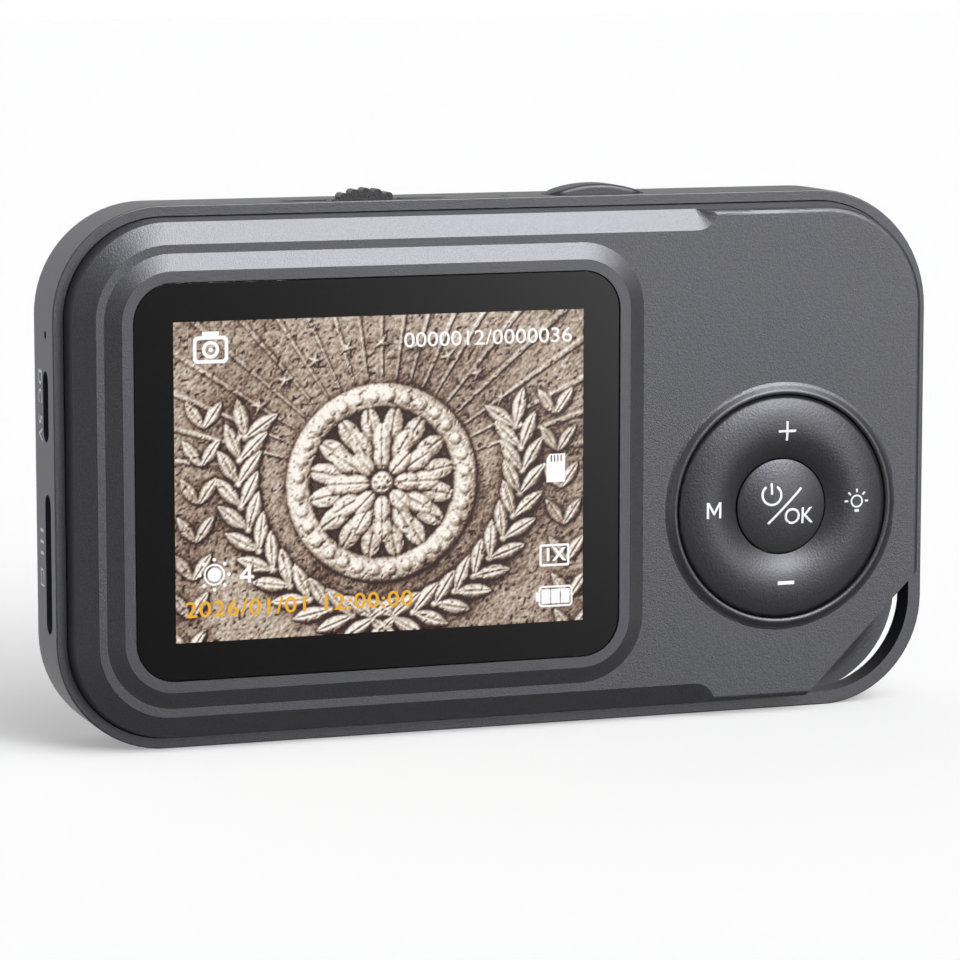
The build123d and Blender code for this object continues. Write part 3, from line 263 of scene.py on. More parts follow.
finish("connector_nylon", (0.70, 0.66, 0.55), 0.50, 0.0005, 0.000006)
finish("lens_black", (0.012, 0.012, 0.013), 0.50, 0.0002, 0.00001)
finish("battery_foil", (0.52, 0.54, 0.57), 0.34, 0.0015, 0.00003, metallic=0.85)
finish("black_foam", (0.007, 0.007, 0.007), 0.90, 0.0002, 0.00004, mottle=0.3, Specular_IOR_Level=0.0)
finish("lead_jacket", (0.30, 0.012, 0.010), 0.45, 0.0006, 0.000004)
finish("amber_film", (0.50, 0.22, 0.03), 0.28, 0.0008, 0.000004, mottle=0.12, stretch=(1, 1, 0.1))
finish("lamp_resin", (0.90, 0.78, 0.30), 0.35, 0.0006, 0.000006, mottle=0.06)
finish("display_black", (0.0015, 0.0013, 0.0015), 0.30, 0.002, 0.0, Specular_IOR_Level=0.0)
# the window's black print, and also the painted shade of the screw recesses
finish("border_ink_and_recess_shade", (0.0015, 0.0013, 0.0015), 0.13, 0.0004, 0.0, Specular_IOR_Level=0.38)
finish("mark_ink", (0.80, 0.80, 0.81), 0.45, 0.0002, 0.000002, mottle=0.02)
finish("side_ink", (0.78, 0.78, 0.79), 0.50, 0.0002, 0.000002, mottle=0.02)
print(len(finishes), "finishes so far")

# %% [markdown]
# ## Circuit board, glass and light
# Three finishes need more than grain. The board gets a Brick Texture, whose mortar reads as copper
# tracks under green lacquer. The glasses are clear shaders with an index of refraction. What
# glows, such as the picture and its symbols, is emission, which the studio light leaves alone.

# %% Board, glass and glow
track_pitch = 0.0011
track_width = 0.06
wear_scale = 120.0
backlight_scale = 60.0
backlight_spread = 0.08

board = finish("board_green", (0.010, 0.095, 0.035), 0.30, 0.0004, 0.000003)
tree = board.node_tree
bricks = new_node(tree, "ShaderNodeTexBrick")
bricks.inputs["Scale"].default_value = 1 / track_pitch
bricks.inputs["Mortar Size"].default_value = track_width
bricks.inputs["Color1"].default_value = (0.008, 0.080, 0.028, 1)
bricks.inputs["Color2"].default_value = (0.010, 0.100, 0.036, 1)
bricks.inputs["Mortar"].default_value = (0.035, 0.210, 0.075, 1)
turn = new_node(tree, "ShaderNodeMapping")
turn.inputs["Rotation"].default_value = (math.radians(90), 0, 0)
tree.links.new(new_node(tree, "ShaderNodeTexCoord").outputs["Object"], turn.inputs["Vector"])
tree.links.new(turn.outputs[0], bricks.inputs["Vector"])
tree.links.new(bricks.outputs["Color"], tree.nodes["Principled BSDF"].inputs["Base Color"])


def clear(name, colour, index, roughness):
    """Transparent material: its breath of wear is a faint change of roughness."""
    material = bpy.data.materials.new(name)
    material.use_nodes = True
    tree = material.node_tree
    shader = tree.nodes["Principled BSDF"]
    shader.inputs["Base Color"].default_value = (*colour, 1)
    shader.inputs["Transmission Weight"].default_value = 1.0
    shader.inputs["IOR"].default_value = index
    noise = new_node(tree, "ShaderNodeTexNoise")
    noise.inputs["Scale"].default_value = wear_scale
    tree.links.new(new_node(tree, "ShaderNodeTexCoord").outputs["Object"], noise.inputs["Vector"])
    tree.links.new(maths(tree, "MULTIPLY", noise.outputs["Fac"], roughness), shader.inputs["Roughness"])
    finishes[name] = material
    return material


def glowing(name, colour, strength):
    """Emission of one colour, a little uneven as a backlight is."""
    material = finish(name, (0.002, 0.002, 0.002), 0.4, 0.004, 0.0, Specular_IOR_Level=0.0)
    tree = material.node_tree
    shader = tree.nodes["Principled BSDF"]
    noise = new_node(tree, "ShaderNodeTexNoise")
    noise.inputs["Scale"].default_value = backlight_scale
    tree.links.new(new_node(tree, "ShaderNodeTexCoord").outputs["Object"], noise.inputs["Vector"])
    wander = maths(tree, "MULTIPLY", noise.outputs["Fac"], backlight_spread)
    uneven = maths(tree, "ADD", wander, strength - backlight_spread / 2)
    shader.inputs["Emission Color"].default_value = (*colour, 1)
    tree.links.new(uneven, shader.inputs["Emission Strength"])
    return material


window_index = 1.42
clear("window_clear", (1.0, 1.0, 1.0), window_index, 0.02)
clear("nose_clear", (0.97, 0.98, 1.0), 1.52, 0.02)
clear("lens_clear", (0.90, 0.93, 1.0), 1.62, 0.01)
clear("pipe_clear", (0.92, 0.92, 0.90), 1.49, 0.30)
glowing("symbol_white", (1.0, 1.0, 1.0), 1.0)
glowing("symbol_orange", (0.87, 0.43, 0.015), 1.0)
print(len(finishes), "finishes")

# %% [markdown]
# ## Dressing the nodes
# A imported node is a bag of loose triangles, so a copy of it is merged, shaded smooth and given
# sharp edges where two faces meet at more than 16 degrees. Weighted normals keep the flats flat.
# The two shells, the shutter button and the round key also get a fine bevel, so that their edges
# catch the light. The copy rides on the node's own body and takes its place.

# %% Dress every node
slot_finish = {
    "shell_plastic": "shell_paint", "key_plastic": "key_paint", "nose_plastic": "nose_black",
    "wheel_plastic": "wheel_black", "window": "window_clear", "display": "display_black",
    "steel": "steel_satin", "tray_steel": "tray_bright", "screw_steel": "black_oxide",
    "rubber": "key_rubber", "circuit_board": "board_green", "chip": "chip_epoxy",
    "connector": "connector_nylon", "film": "amber_film", "black_plastic": "lens_black",
    "lens_glass": "lens_clear", "clear_window": "nose_clear", "lamp": "lamp_resin",
    "battery_wrap": "battery_foil", "foam": "black_foam", "wire": "lead_jacket",
}
edge_rounds = {"front_cover": 0.10, "rear_shell": 0.08, "shutter_button": 0.08, "ok_button": 0.06}
sharp_angle = 16
flat_angle = 0.4
merge_reach = 0.001
node_slot = {part["node"]: part["material_slot"] for part in frame["record"]["subparts"]}
dressed = {}


def dress(node):
    """Put a smooth-shaded copy of a node in its place, in its slot's finish."""
    packed = frame["nodes"][node]
    piece = bpy.data.objects.new(node + "_dressed", packed.data.copy())
    bpy.context.scene.collection.objects.link(piece)
    mesh = piece.data
    shape = bmesh.new()
    shape.from_mesh(mesh)
    bmesh.ops.remove_doubles(shape, verts=shape.verts, dist=merge_reach * mm)
    if node in edge_rounds:
        bmesh.ops.dissolve_limit(
            shape, angle_limit=math.radians(flat_angle), verts=shape.verts, edges=shape.edges
        )
    shape.to_mesh(mesh)
    shape.free()
    mesh.materials.clear()
    mesh.materials.append(finishes[slot_finish[node_slot[node]]])
    mesh.shade_smooth()
    mesh.set_sharp_from_angle(angle=math.radians(sharp_angle))
    if node in edge_rounds:
        rounding = piece.modifiers.new("edge", "BEVEL")
        rounding.width = edge_rounds[node] * mm
        rounding.segments = 2
        rounding.limit_method = "ANGLE"
        rounding.angle_limit = math.radians(sharp_angle)
        rounding.harden_normals = False
    weights = piece.modifiers.new("flats", "WEIGHTED_NORMAL")
    weights.keep_sharp = True
    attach(piece, packed["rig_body"])
    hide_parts(node)
    dressed[node] = piece
    return piece


for node in sorted(frame["nodes"]):
    dress(node)
dressed["lamp_pipe"].data.materials[0] = finishes["pipe_clear"]
print(len(dressed), "nodes dressed")

# %% [markdown]
# ## Flat shapes
# Printed marks, the window's black border and the symbols on the picture are flat shapes. A 2D
# curve fills itself between its outline and its holes, so a mark is only a list of closed loops.
# It becomes a mesh first, and then it is laid on the surface that carries it.

# %% Loops and flat meshes
def rounded_loop(x, z, width, height, r, steps=8):
    """Closed outline of a rounded rectangle about (x, z)."""
    loop = []
    for quarter, (sx, sz) in enumerate(((1, 1), (-1, 1), (-1, -1), (1, -1))):
        for step in range(steps + 1):
            a = math.radians(90 * (quarter + step / steps))
            corner = (x + sx * (width / 2 - r), z + sz * (height / 2 - r))
            loop.append((corner[0] + r * math.cos(a), corner[1] + r * math.sin(a)))
    return loop


def circle_loop(x, z, r, steps=40):
    """Closed outline of a circle."""
    return [
        (x + r * math.cos(2 * math.pi * i / steps), z + r * math.sin(2 * math.pi * i / steps))
        for i in range(steps)
    ]


def bar_loop(x1, z1, x2, z2, width):
    """Closed outline of a straight stroke."""
    along = Vector((x2 - x1, z2 - z1)).normalized() * width / 2
    side = Vector((-along.y, along.x))
    return [
        (x1 + side.x, z1 + side.y), (x1 - side.x, z1 - side.y),
        (x2 - side.x, z2 - side.y), (x2 + side.x, z2 + side.y),
    ]


print("outlines ready")

# %% [markdown]
# A curve or a line of text is filled by Blender and then read as a mesh, which keeps the triangles
# and drops the curve. A Solidify modifier gives each flat mesh a hair's thickness.

# %% Flat meshes and sheets
cap_share = 0.72


def flat_mesh(name, loops):
    """Mesh of a filled 2D curve, in millimetres, on its own XY plane."""
    curve = bpy.data.curves.new(name, "CURVE")
    curve.dimensions = "2D"
    curve.fill_mode = "BOTH"
    for loop in loops:
        spline = curve.splines.new("POLY")
        spline.points.add(len(loop) - 1)
        for point, (x, z) in zip(spline.points, loop):
            point.co = (x, z, 0, 1)
        spline.use_cyclic_u = True
    return made_mesh(name, curve)


def text_mesh(name, text, height, weight=0.0, spacing=1.0, wide=1.0):
    """Mesh of a line of characters, in millimetres, centred on its own XY plane."""
    words = bpy.data.curves.new(name, "FONT")
    words.body = text
    words.align_x = "CENTER"
    words.align_y = "CENTER"
    words.size = height / cap_share
    words.offset = weight
    words.space_character = spacing
    words.resolution_u = 4
    mesh = made_mesh(name, words)
    mesh.transform(Matrix.Diagonal((wide, 1, 1, 1)))
    return mesh


def made_mesh(name, curve):
    """Turn a curve or text into a mesh and drop the curve."""
    holder = bpy.data.objects.new(name, curve)
    bpy.context.scene.collection.objects.link(holder)
    bpy.context.view_layer.update()
    evaluated = holder.evaluated_get(bpy.context.evaluated_depsgraph_get())
    mesh = bpy.data.meshes.new_from_object(evaluated)
    bpy.data.objects.remove(holder)
    return mesh


def sheet_piece(name, mesh, place, body, material, thickness):
    """Place a flat mesh, give it a thickness towards its back and let it ride on a body."""
    mesh.transform(place)
    piece = bpy.data.objects.new(name, mesh)
    bpy.context.scene.collection.objects.link(piece)
    mesh.materials.clear()
    mesh.materials.append(finishes[material])
    thicken = piece.modifiers.new("sheet", "SOLIDIFY")
    thicken.thickness = thickness * mm
    thicken.offset = -1
    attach(piece, body)
    return piece


def upright(x, y, z):
    """Stand a flat mesh up to face forwards: its Y becomes Z, and millimetres become metres."""
    stand = Matrix.Rotation(math.radians(90), 4, "X")
    return Matrix.Translation((x * mm, y * mm, z * mm)) @ stand @ Matrix.Scale(mm, 4)


print("helpers for flat shapes ready")

# %% [markdown]
# ## Window border
# The window is clear, and its edge is printed glossy black, which hides the display's frame. So the
# border is a thin sheet on the window. The picture lies deeper than the print, so the hole is moved
# towards the camera by as much as that depth shifts what is seen through it. The glass bends the
# view, so its thickness counts for less: it is divided by its index of refraction.

# %% Window border
picture_left, picture_right = -39.95, 9.01
picture_low, picture_high = 12.38, 48.68
picture_front = -9.04
border_gap = 0.01
border_inset = 0.1
border_r = 4.4
hole_r = 0.1
print_thickness = 0.005

window_low, window_high = [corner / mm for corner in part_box("window_glass")]
window_x = (window_low.x + window_high.x) / 2
window_z = (window_low.z + window_high.z) / 2
picture_x = (picture_left + picture_right) / 2
picture_z = (picture_low + picture_high) / 2
depth_seen = picture_front - window_high.y + (window_high.y - window_low.y) / window_index
shift = depth_seen / (picture_front - camera_place[1] / mm)
print("the picture is seen", round(depth_seen, 3), "mm behind the print")
picture_width = picture_right - picture_left
picture_height = picture_high - picture_low
border = flat_mesh("window_border", [
    rounded_loop(window_x, window_z, window_high.x - window_low.x - 2 * border_inset,
                 window_high.z - window_low.z - 2 * border_inset, border_r),
    rounded_loop(picture_x + shift * (camera_place[0] / mm - picture_x),
                 picture_z + shift * (camera_place[2] / mm - picture_z),
                 picture_width * (1 - shift), picture_height * (1 - shift), hole_r),
])
sheet_piece("window_border", border, upright(0, window_low.y - border_gap, 0), "root",
            "border_ink_and_recess_shade", print_thickness)
print("border round a picture of", round(picture_width, 2), "by", round(picture_height, 2), "mm")

# %% [markdown]
# ## The picture: a carved rosette
# The display shows a worn stone relief, close up. Any such picture can be computed: a height field
# made of simple shapes, lit from the upper left, then coloured by a ramp from brown to cream. The
# motifs here are plain ornament: a rosette in a ring of beads, two sprays of leaves, rays and stars.
#
# The field is a grid of heights in millimetres, and px and pz are the places of its points, counted
# from the picture's middle.

# %% Grid of the relief
columns, rows = 360, 270
random_stone = np.random.default_rng(7)
u, v = np.meshgrid(np.linspace(0, 1, columns + 1), np.linspace(0, 1, rows + 1))
px = (u - 0.5) * picture_width
pz = (v - 0.5) * picture_height
print("grid of", columns, "by", rows)

# %% [markdown]
# Every motif is a formula for its height at all points at once. They are joined by the larger of two
# heights, which lets one lump lie on another as carving does.

# %% Shapes of the relief
def smooth_step(value, low, high):
    """0 below low, 1 above high, and a soft ramp between."""
    t = np.clip((value - low) / (high - low), 0, 1)
    return t * t * (3 - 2 * t)


def stone(cells):
    """Soft random field with about that many cells across the picture."""
    grid = random_stone.random((int(cells * 0.75) + 3, cells + 3))
    x, z = u * cells, v * cells * 0.75
    i, j = x.astype(int), z.astype(int)
    fx, fz = smooth_step(x - i, 0, 1), smooth_step(z - j, 0, 1)
    low = grid[j, i] * (1 - fx) + grid[j, i + 1] * fx
    high = grid[j + 1, i] * (1 - fx) + grid[j + 1, i + 1] * fx
    return low * (1 - fz) + high * fz


def dome_shape(distance, r, height):
    """Rounded lump: full height in the middle, nothing beyond r."""
    return height * np.sqrt(np.clip(1 - (distance / r) ** 2, 0, 1))


def leaf(x, z, length, width, angle, height):
    """Pointed leaf with a mid rib, from its stalk end at (x, z)."""
    c, s = math.cos(math.radians(angle)), math.sin(math.radians(angle))
    along = ((px - x) * c + (pz - z) * s) / length
    across = np.abs(-(px - x) * s + (pz - z) * c)
    half = width / 2 * np.sin(np.pi * np.clip(along, 0, 1)) ** 0.8 + 1e-6
    body = np.sqrt(np.clip(1 - (across / half) ** 2, 0, 1)) * (along > 0) * (along < 1)
    rib = 0.35 * np.exp(-((across / 0.10) ** 2))
    return height * body * (1 - rib)


def star(x, z, r, height, turn=0):
    """Five-pointed star with ridged arms."""
    distance = np.hypot(px - x, pz - z)
    a = (np.arctan2(pz - z, px - x) - math.radians(90 + turn)) % (2 * math.pi / 5)
    a = np.minimum(a, 2 * math.pi / 5 - a)
    edge = r * 0.42 / (np.cos(a) * 0.42 + np.sin(a) * 1.15 + 1e-6)
    return height * np.clip(1 - distance / edge, 0, 1) ** 0.6


print("leaf, star and lump ready")

# %% [markdown]
# The rosette has three rows of petals round a domed middle. A ring of beads goes round it, and rays
# and an arc of small stars fill the space above.

# %% Rosette, ring, rays and stars
ring_r = 10.0
bead_count = 32
ray_count = 44
star_reach = 19.0
petal_rows = [
    # petals, radius of their middle, half length, half width, height
    (16, 6.7, 2.1, 1.25, 1.0),
    (12, 4.9, 2.0, 1.20, 1.4),
    (8, 3.1, 1.7, 1.10, 1.8),
]
relief = np.zeros_like(px)
centre_z = -1.0
distance = np.hypot(px, pz - centre_z)
angle = np.arctan2(pz - centre_z, px)
rays = 0.5 + 0.5 * np.cos(angle * ray_count)
sky_side = smooth_step(distance, 11.5, 12.5) * smooth_step(pz, 1, 3)
relief += 0.32 * smooth_step(rays, 0.86, 0.99) * sky_side
for step in range(11):
    a = math.radians(28 + 12.4 * step)
    x = star_reach * math.cos(a)
    z = centre_z - 3.0 + star_reach * math.sin(a)
    relief = np.maximum(relief, star(x, z, 1.15, 0.9, step * 9))
ring = np.abs(distance - ring_r)
relief = np.maximum(relief, dome_shape(ring, 1.5, 1.1))
bead = (angle * bead_count / (2 * math.pi)) % 1 - 0.5
bead_distance = np.hypot(bead * 2 * math.pi * ring_r / bead_count, distance - ring_r)
beads = 0.7 + dome_shape(bead_distance, 0.75, 0.9) * (ring < 1.2) - 0.7 * (ring >= 1.2)
relief = np.maximum(relief, beads)
for petals, middle_r, long_r, wide_r, swell in petal_rows:
    sector = 2 * math.pi / petals
    offset = (angle + sector * (swell > 1.2) / 2) % sector - sector / 2
    along = (distance * np.cos(offset) - middle_r) / long_r
    across = distance * np.sin(offset) / wide_r
    lump = np.sqrt(np.clip(1 - along ** 2 - across ** 2, 0, 1))
    vein = 0.30 * np.exp(-((across * wide_r / 0.12) ** 2))
    relief = np.where(lump > 0, np.maximum(relief, swell * (0.45 + 0.55 * lump) - vein), relief)
relief = np.maximum(relief, dome_shape(distance, 1.5, 2.3))
for step in range(6):
    a = math.radians(60 * step)
    dot_distance = np.hypot(px - 0.75 * math.cos(a), pz - centre_z - 0.75 * math.sin(a))
    relief -= 0.5 * dome_shape(dot_distance, 0.22, 1)
print("relief from", round(float(relief.min()), 2), "to", round(float(relief.max()), 2), "mm")

# %% [markdown]
# Each spray is a curved row of leaf pairs, with a berry where a pair joins. A nearly straight
# column of leaves stands outside it. The same leaves are drawn once for each side.

# %% Sprays of leaves
for side in (1, -1):
    for step in range(13):
        t = step / 12
        a = math.radians(-96 + 118 * t)
        x = side * (15.2 + 2.2 * t) * math.cos(a)
        z = centre_z + 15.6 * math.sin(a)
        lean = math.degrees(a) + 90
        for spread in (34, -34):
            turn = lean + spread if side > 0 else 180 - lean - spread
            relief = np.maximum(relief, leaf(x, z, 4.6, 1.9, turn, 1.25 - 0.2 * t))
        relief = np.maximum(relief, dome_shape(np.hypot(px - x, pz - z), 0.6, 0.9))
    for step in range(7):
        x = side * (21.0 + 0.35 * step)
        z = 6.0 - 4.3 * step
        for spread in (55, 125):
            turn = spread if side > 0 else 180 - spread
            relief = np.maximum(relief, leaf(x, z, 3.8, 1.6, turn, 0.9))
print("relief with sprays up to", round(float(relief.max()), 2), "mm")

# %% [markdown]
# Old stone is pitted and grimy. Random fields of several sizes wear the surface, and the pits are lowered
# and darkened. Hollows beside the raised forms are darkened as painted shade, raised parts are made
# brighter, and the slope of each point against a light from the upper left gives its brightness.

# %% Wear and light
worn = 0.55 * stone(9) + 0.5 * stone(26) + 0.42 * stone(70) + 0.45 * stone(180)
pits = smooth_step(stone(150), 0.80, 0.93)
height_field = relief + 0.30 * worn - 0.30 * pits
slope_x = np.gradient(height_field, axis=1) * columns / picture_width
slope_z = np.gradient(height_field, axis=0) * rows / picture_height
facing = (0.50 * slope_x - 0.62 * slope_z + 1.05) / np.sqrt(slope_x ** 2 + slope_z ** 2 + 1)


def blurred(field, reach):
    """Mean over a square, by running sums."""
    padded = np.pad(field, ((reach + 1, reach), (reach + 1, reach)), mode="edge")
    total = padded.cumsum(0).cumsum(1)
    size = 2 * reach + 1
    near, far = total[:-size], total[size:]
    return (far[:, size:] - near[:, size:] - far[:, :-size] + near[:, :-size]) / size ** 2


# painted shade: darker where the relief lies below its blurred surroundings, near and wide
hollow_shade = np.clip(blurred(relief, 4) - relief, 0, 1)
hollow_shade += 0.7 * np.clip(blurred(relief, 13) - relief, 0, 1)
grime = smooth_step(0.6 * stone(5) + 0.4 * stone(14), 0.35, 0.75)
light = 0.55 * facing + 0.26 * np.clip(relief, 0, 1.3) - 0.62 * hollow_shade - 0.12 * grime - 0.20 * pits
light += 0.30 * (stone(300) - 0.5) + 0.16 * (stone(110) - 0.5)
light = np.clip(0.47 + 0.33 * (light - light.mean()) / light.std(), 0, 1)
print("mean brightness", round(float(light.mean()), 2))

# %% [markdown]
# The brightness goes through three colours: dark brown, warm grey and cream. They are stored as a
# colour at each point of a fine grid, and the display's material reads that attribute as emission.

# %% The picture as a mesh
dark = np.array([0.15, 0.04, 0.015])
middle = np.array([0.65, 0.565, 0.490])
pale = np.array([1.0, 0.975, 0.94])
first = np.clip(light / 0.5, 0, 1)[..., None] ** 1.25
second = np.clip((light - 0.5) / 0.45, 0, 1)[..., None]
colour = (dark + (middle - dark) * first) * (1 - second) + pale * second
linear = np.where(colour <= 0.04045, colour / 12.92, ((colour + 0.055) / 1.055) ** 2.4)

shape = bmesh.new()
bmesh.ops.create_grid(shape, x_segments=columns, y_segments=rows, size=0.5)
picture_mesh = bpy.data.meshes.new("display_picture")
shape.to_mesh(picture_mesh)
shape.free()
points = np.array([point.co for point in picture_mesh.vertices])
column = np.rint((points[:, 0] + 0.5) * columns).astype(int)
row = np.rint((points[:, 1] + 0.5) * rows).astype(int)
painted = picture_mesh.color_attributes.new("picture", "FLOAT_COLOR", "POINT")
rgba = np.ones((len(points), 4), np.float32)
rgba[:, :3] = linear[row, column]
painted.data.foreach_set("color", rgba.ravel())

picture_glow = finish(
    "picture_glow", (0.002, 0.002, 0.002), 0.35, 0.004, 0.0, Specular_IOR_Level=0.0
)
tree = picture_glow.node_tree
stored = new_node(tree, "ShaderNodeVertexColor", layer_name="picture")
tree.links.new(stored.outputs["Color"], tree.nodes["Principled BSDF"].inputs["Emission Color"])
tree.nodes["Principled BSDF"].inputs["Emission Strength"].default_value = 1.0
picture_size = Matrix.Diagonal((picture_width, picture_height, 1, 1))
picture_mesh.transform(upright(picture_x, picture_front, picture_z) @ picture_size)
picture = bpy.data.objects.new("display_picture", picture_mesh)
bpy.context.scene.collection.objects.link(picture)
picture_mesh.materials.append(picture_glow)
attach(picture, "root")
print(len(picture_mesh.polygons), "faces in the picture")

# %% [markdown]
# ## Symbols on the picture
# The camera writes its state over the picture: mode, counter, card, zoom, battery, brightness and a
# plain date. They are glowing flat shapes just in front of it, and their places are shares of its
# width and height, counted from the upper left as on any screen.

# %% Screen symbols
symbol_gap = 0.02
symbol_thickness = 0.01


def on_screen(name, mesh, across, down, material="symbol_white"):
    """Lay a flat mesh on the picture at a share of its width and height."""
    x = picture_left + across * picture_width
    z = picture_high - down * picture_height
    place = upright(x, picture_front - symbol_gap, z)
    return sheet_piece(name, mesh, place, "root", material, symbol_thickness)


def frame_loops(width, height, r, line):
    """Outline of a rounded box drawn with a line."""
    return [
        rounded_loop(0, 0, width, height, r),
        rounded_loop(0, 0, width - 2 * line, height - 2 * line, r / 2),
    ]


on_screen("screen_camera", flat_mesh("screen_camera", [
    *frame_loops(4.1, 3.1, 0.6, 0.42),
    rounded_loop(0, 1.80, 2.0, 0.50, 0.15),
    circle_loop(0, 0, 1.0), circle_loop(0, 0, 0.60),
    circle_loop(0, 0, 0.26),
]), 0.088, 0.088)
counter = text_mesh("screen_counter", "0000012/0000036", 1.75, 0.01, 1.0, 1.16)
on_screen("screen_counter", counter, 0.762, 0.082)
on_screen("screen_card", flat_mesh("screen_card", [
    [(-1.15, -1.65), (1.15, -1.65), (1.15, 1.65), (-0.75, 1.65), (-1.15, 1.1)],
    *[rounded_loop(-0.55 + 0.4 * i, 1.12, 0.16, 0.75, 0.02) for i in range(4)],
]), 0.930, 0.505)
zoom_box = flat_mesh("screen_zoom_box", frame_loops(3.7, 2.6, 0.25, 0.28))
on_screen("screen_zoom_box", zoom_box, 0.927, 0.785)
on_screen("screen_zoom", text_mesh("screen_zoom", "1X", 1.5, 0.07, 1.1), 0.927, 0.785)
on_screen("screen_battery", flat_mesh("screen_battery", [
    *frame_loops(4.2, 2.5, 0.5, 0.24),
    *[rounded_loop(-1.2 + 1.2 * i, 0, 1.08, 1.7, 0.08) for i in range(3)],
    rounded_loop(-2.27, 0, 0.34, 1.1, 0.1),
]), 0.930, 0.918)
on_screen("screen_brightness", flat_mesh("screen_brightness", [
    circle_loop(0, 0, 1.25), circle_loop(0, 0, 1.02), circle_loop(0, 0, 0.80),
    *[circle_loop(1.72 * math.cos(a), 1.72 * math.sin(a), 0.22, 16)
      for a in (math.pi / 4 * i for i in range(8))],
]), 0.0925, 0.790)
on_screen("screen_level", flat_mesh("screen_level", [
    [(0.5, -0.95), (0.5, -0.45), (0.85, -0.45), (0.85, -0.10), (0.5, -0.10), (0.5, 0.95),
     (0.1, 0.95), (-0.85, -0.10), (-0.85, -0.45), (0.1, -0.45), (0.1, -0.95)],
    [(0.1, -0.10), (0.1, 0.42), (-0.37, -0.10)],
]), 0.170, 0.795)
date = text_mesh("screen_date", "2026/01/01 12:00:00", 1.85, 0.03, 1.08, 1.17)
on_screen("screen_date", date, 0.298, 0.900, "symbol_orange")
print("symbols written")

# %% [markdown]
# ## Marks on the keys
# The marks are pad-printed, so they follow the dish of the ring. Each flat mark is cut into narrow
# strips, and every point is dropped along Y on to the key by a ray cast against the key's own mesh.
# The piece rides on the key's body, so it stays on the key when that is pressed.

# %% Printed key marks
print_height = 0.02
strip = 0.4
ray_start = 0.05
ring_low, ring_high = [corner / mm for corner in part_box("ring_button")]
ring_x = (ring_low.x + ring_high.x) / 2
ring_z = (ring_low.z + ring_high.z) / 2


def printed(name, mesh, x, z, carrier):
    """Print a flat mesh on the front of a dressed node."""
    shape = bmesh.new()
    shape.from_mesh(mesh)
    reach = max(max(abs(point.co.x), abs(point.co.y)) for point in shape.verts)
    for axis in ((1, 0, 0), (0, 1, 0)):
        for step in range(-int(reach / strip) - 1, int(reach / strip) + 2):
            bmesh.ops.bisect_plane(
                shape, geom=[*shape.verts, *shape.edges, *shape.faces],
                plane_co=[step * strip * part for part in axis], plane_no=axis,
            )
    bmesh.ops.transform(shape, matrix=upright(x, 0, z), verts=shape.verts)
    surface = BVHTree.FromObject(dressed[carrier], bpy.context.evaluated_depsgraph_get())
    for point in shape.verts:
        start = Vector((point.co.x, -ray_start, point.co.z))
        hit = surface.ray_cast(start, Vector((0, 1, 0)))[0]
        point.co.y = hit.y - print_height * mm
    shape.to_mesh(mesh)
    shape.free()
    body = frame["nodes"][carrier]["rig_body"]
    place = Matrix.Identity(4)
    return sheet_piece(name, mesh, place, body, "mark_ink", print_height / 2)


print("printing by ray cast ready")

# %% [markdown]
# Plus and minus are above and below the round key, a letter for the menu is on the left and a small
# lamp on the right. The round key carries a power sign, a slash and two letters.

# %% Marks of the ring and the round key
printed("mark_plus", flat_mesh("mark_plus", [
    [(-1.1, -0.14), (-0.14, -0.14), (-0.14, -1.15), (0.14, -1.15), (0.14, -0.14), (1.1, -0.14),
     (1.1, 0.14), (0.14, 0.14), (0.14, 1.15), (-0.14, 1.15), (-0.14, 0.14), (-1.1, 0.14)],
]), ring_x + 0.3, ring_z + 9.0, "ring_button")
printed("mark_minus", flat_mesh("mark_minus", [rounded_loop(0, 0, 2.1, 0.42, 0.05)]),
        ring_x + 0.3, ring_z - 9.0, "ring_button")
printed("mark_menu", flat_mesh("mark_menu", [
    [(-0.95, -0.95), (-0.95, 0.95), (-0.62, 0.95), (0, -0.12), (0.62, 0.95), (0.95, 0.95), (0.95, -0.95),
     (0.66, -0.95), (0.66, 0.45), (0.10, -0.52), (-0.10, -0.52), (-0.66, 0.45), (-0.66, -0.95)],
]), ring_x - 8.9, ring_z, "ring_button")
lamp_rays = [
    bar_loop(1.05 * math.cos(a), 1.05 * math.sin(a), 1.5 * math.cos(a), 1.5 * math.sin(a), 0.22)
    for a in (math.radians(angle) for angle in (0, 45, 90, 135, 180))
]
printed("mark_lamp", flat_mesh("mark_lamp", [
    circle_loop(0, 0, 0.78), circle_loop(0, 0, 0.58), *lamp_rays, rounded_loop(0, -1.12, 0.55, 0.3, 0.05),
]), ring_x + 9.3, ring_z + 0.3, "ring_button")

arc = [math.radians(125 + 290 * i / 30) for i in range(31)]
power_loop = [(1.02 * math.cos(a), 1.02 * math.sin(a)) for a in arc]
power_loop += [(1.30 * math.cos(a), 1.30 * math.sin(a)) for a in reversed(arc)]
printed("mark_power", flat_mesh("mark_power", [power_loop, rounded_loop(0, 0.72, 0.28, 1.35, 0.05)]),
        ring_x - 1.45, ring_z + 1.45, "ok_button")
printed("mark_slash", flat_mesh("mark_slash", [bar_loop(-2.0, -1.95, 2.25, 2.15, 0.28)]),
        ring_x + 0.1, ring_z, "ok_button")
printed("mark_ok", text_mesh("mark_ok", "OK", 1.95, 0.02, 0.95), ring_x + 2.0, ring_z - 1.25, "ok_button")
print("keys printed about", round(ring_x, 2), round(ring_z, 2))

# %% [markdown]
# ## Labels on the end wall
# Small grey labels beside the sockets run down the wall, turned a quarter. A plain supply label
# stands by the power slot, and three bars and the outline of a card stand by the card slot.

# %% End wall labels
wall_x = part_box("rear_shell")[0].x / mm
label_y = -0.9
label_gap = 0.015
label_thickness = 0.01


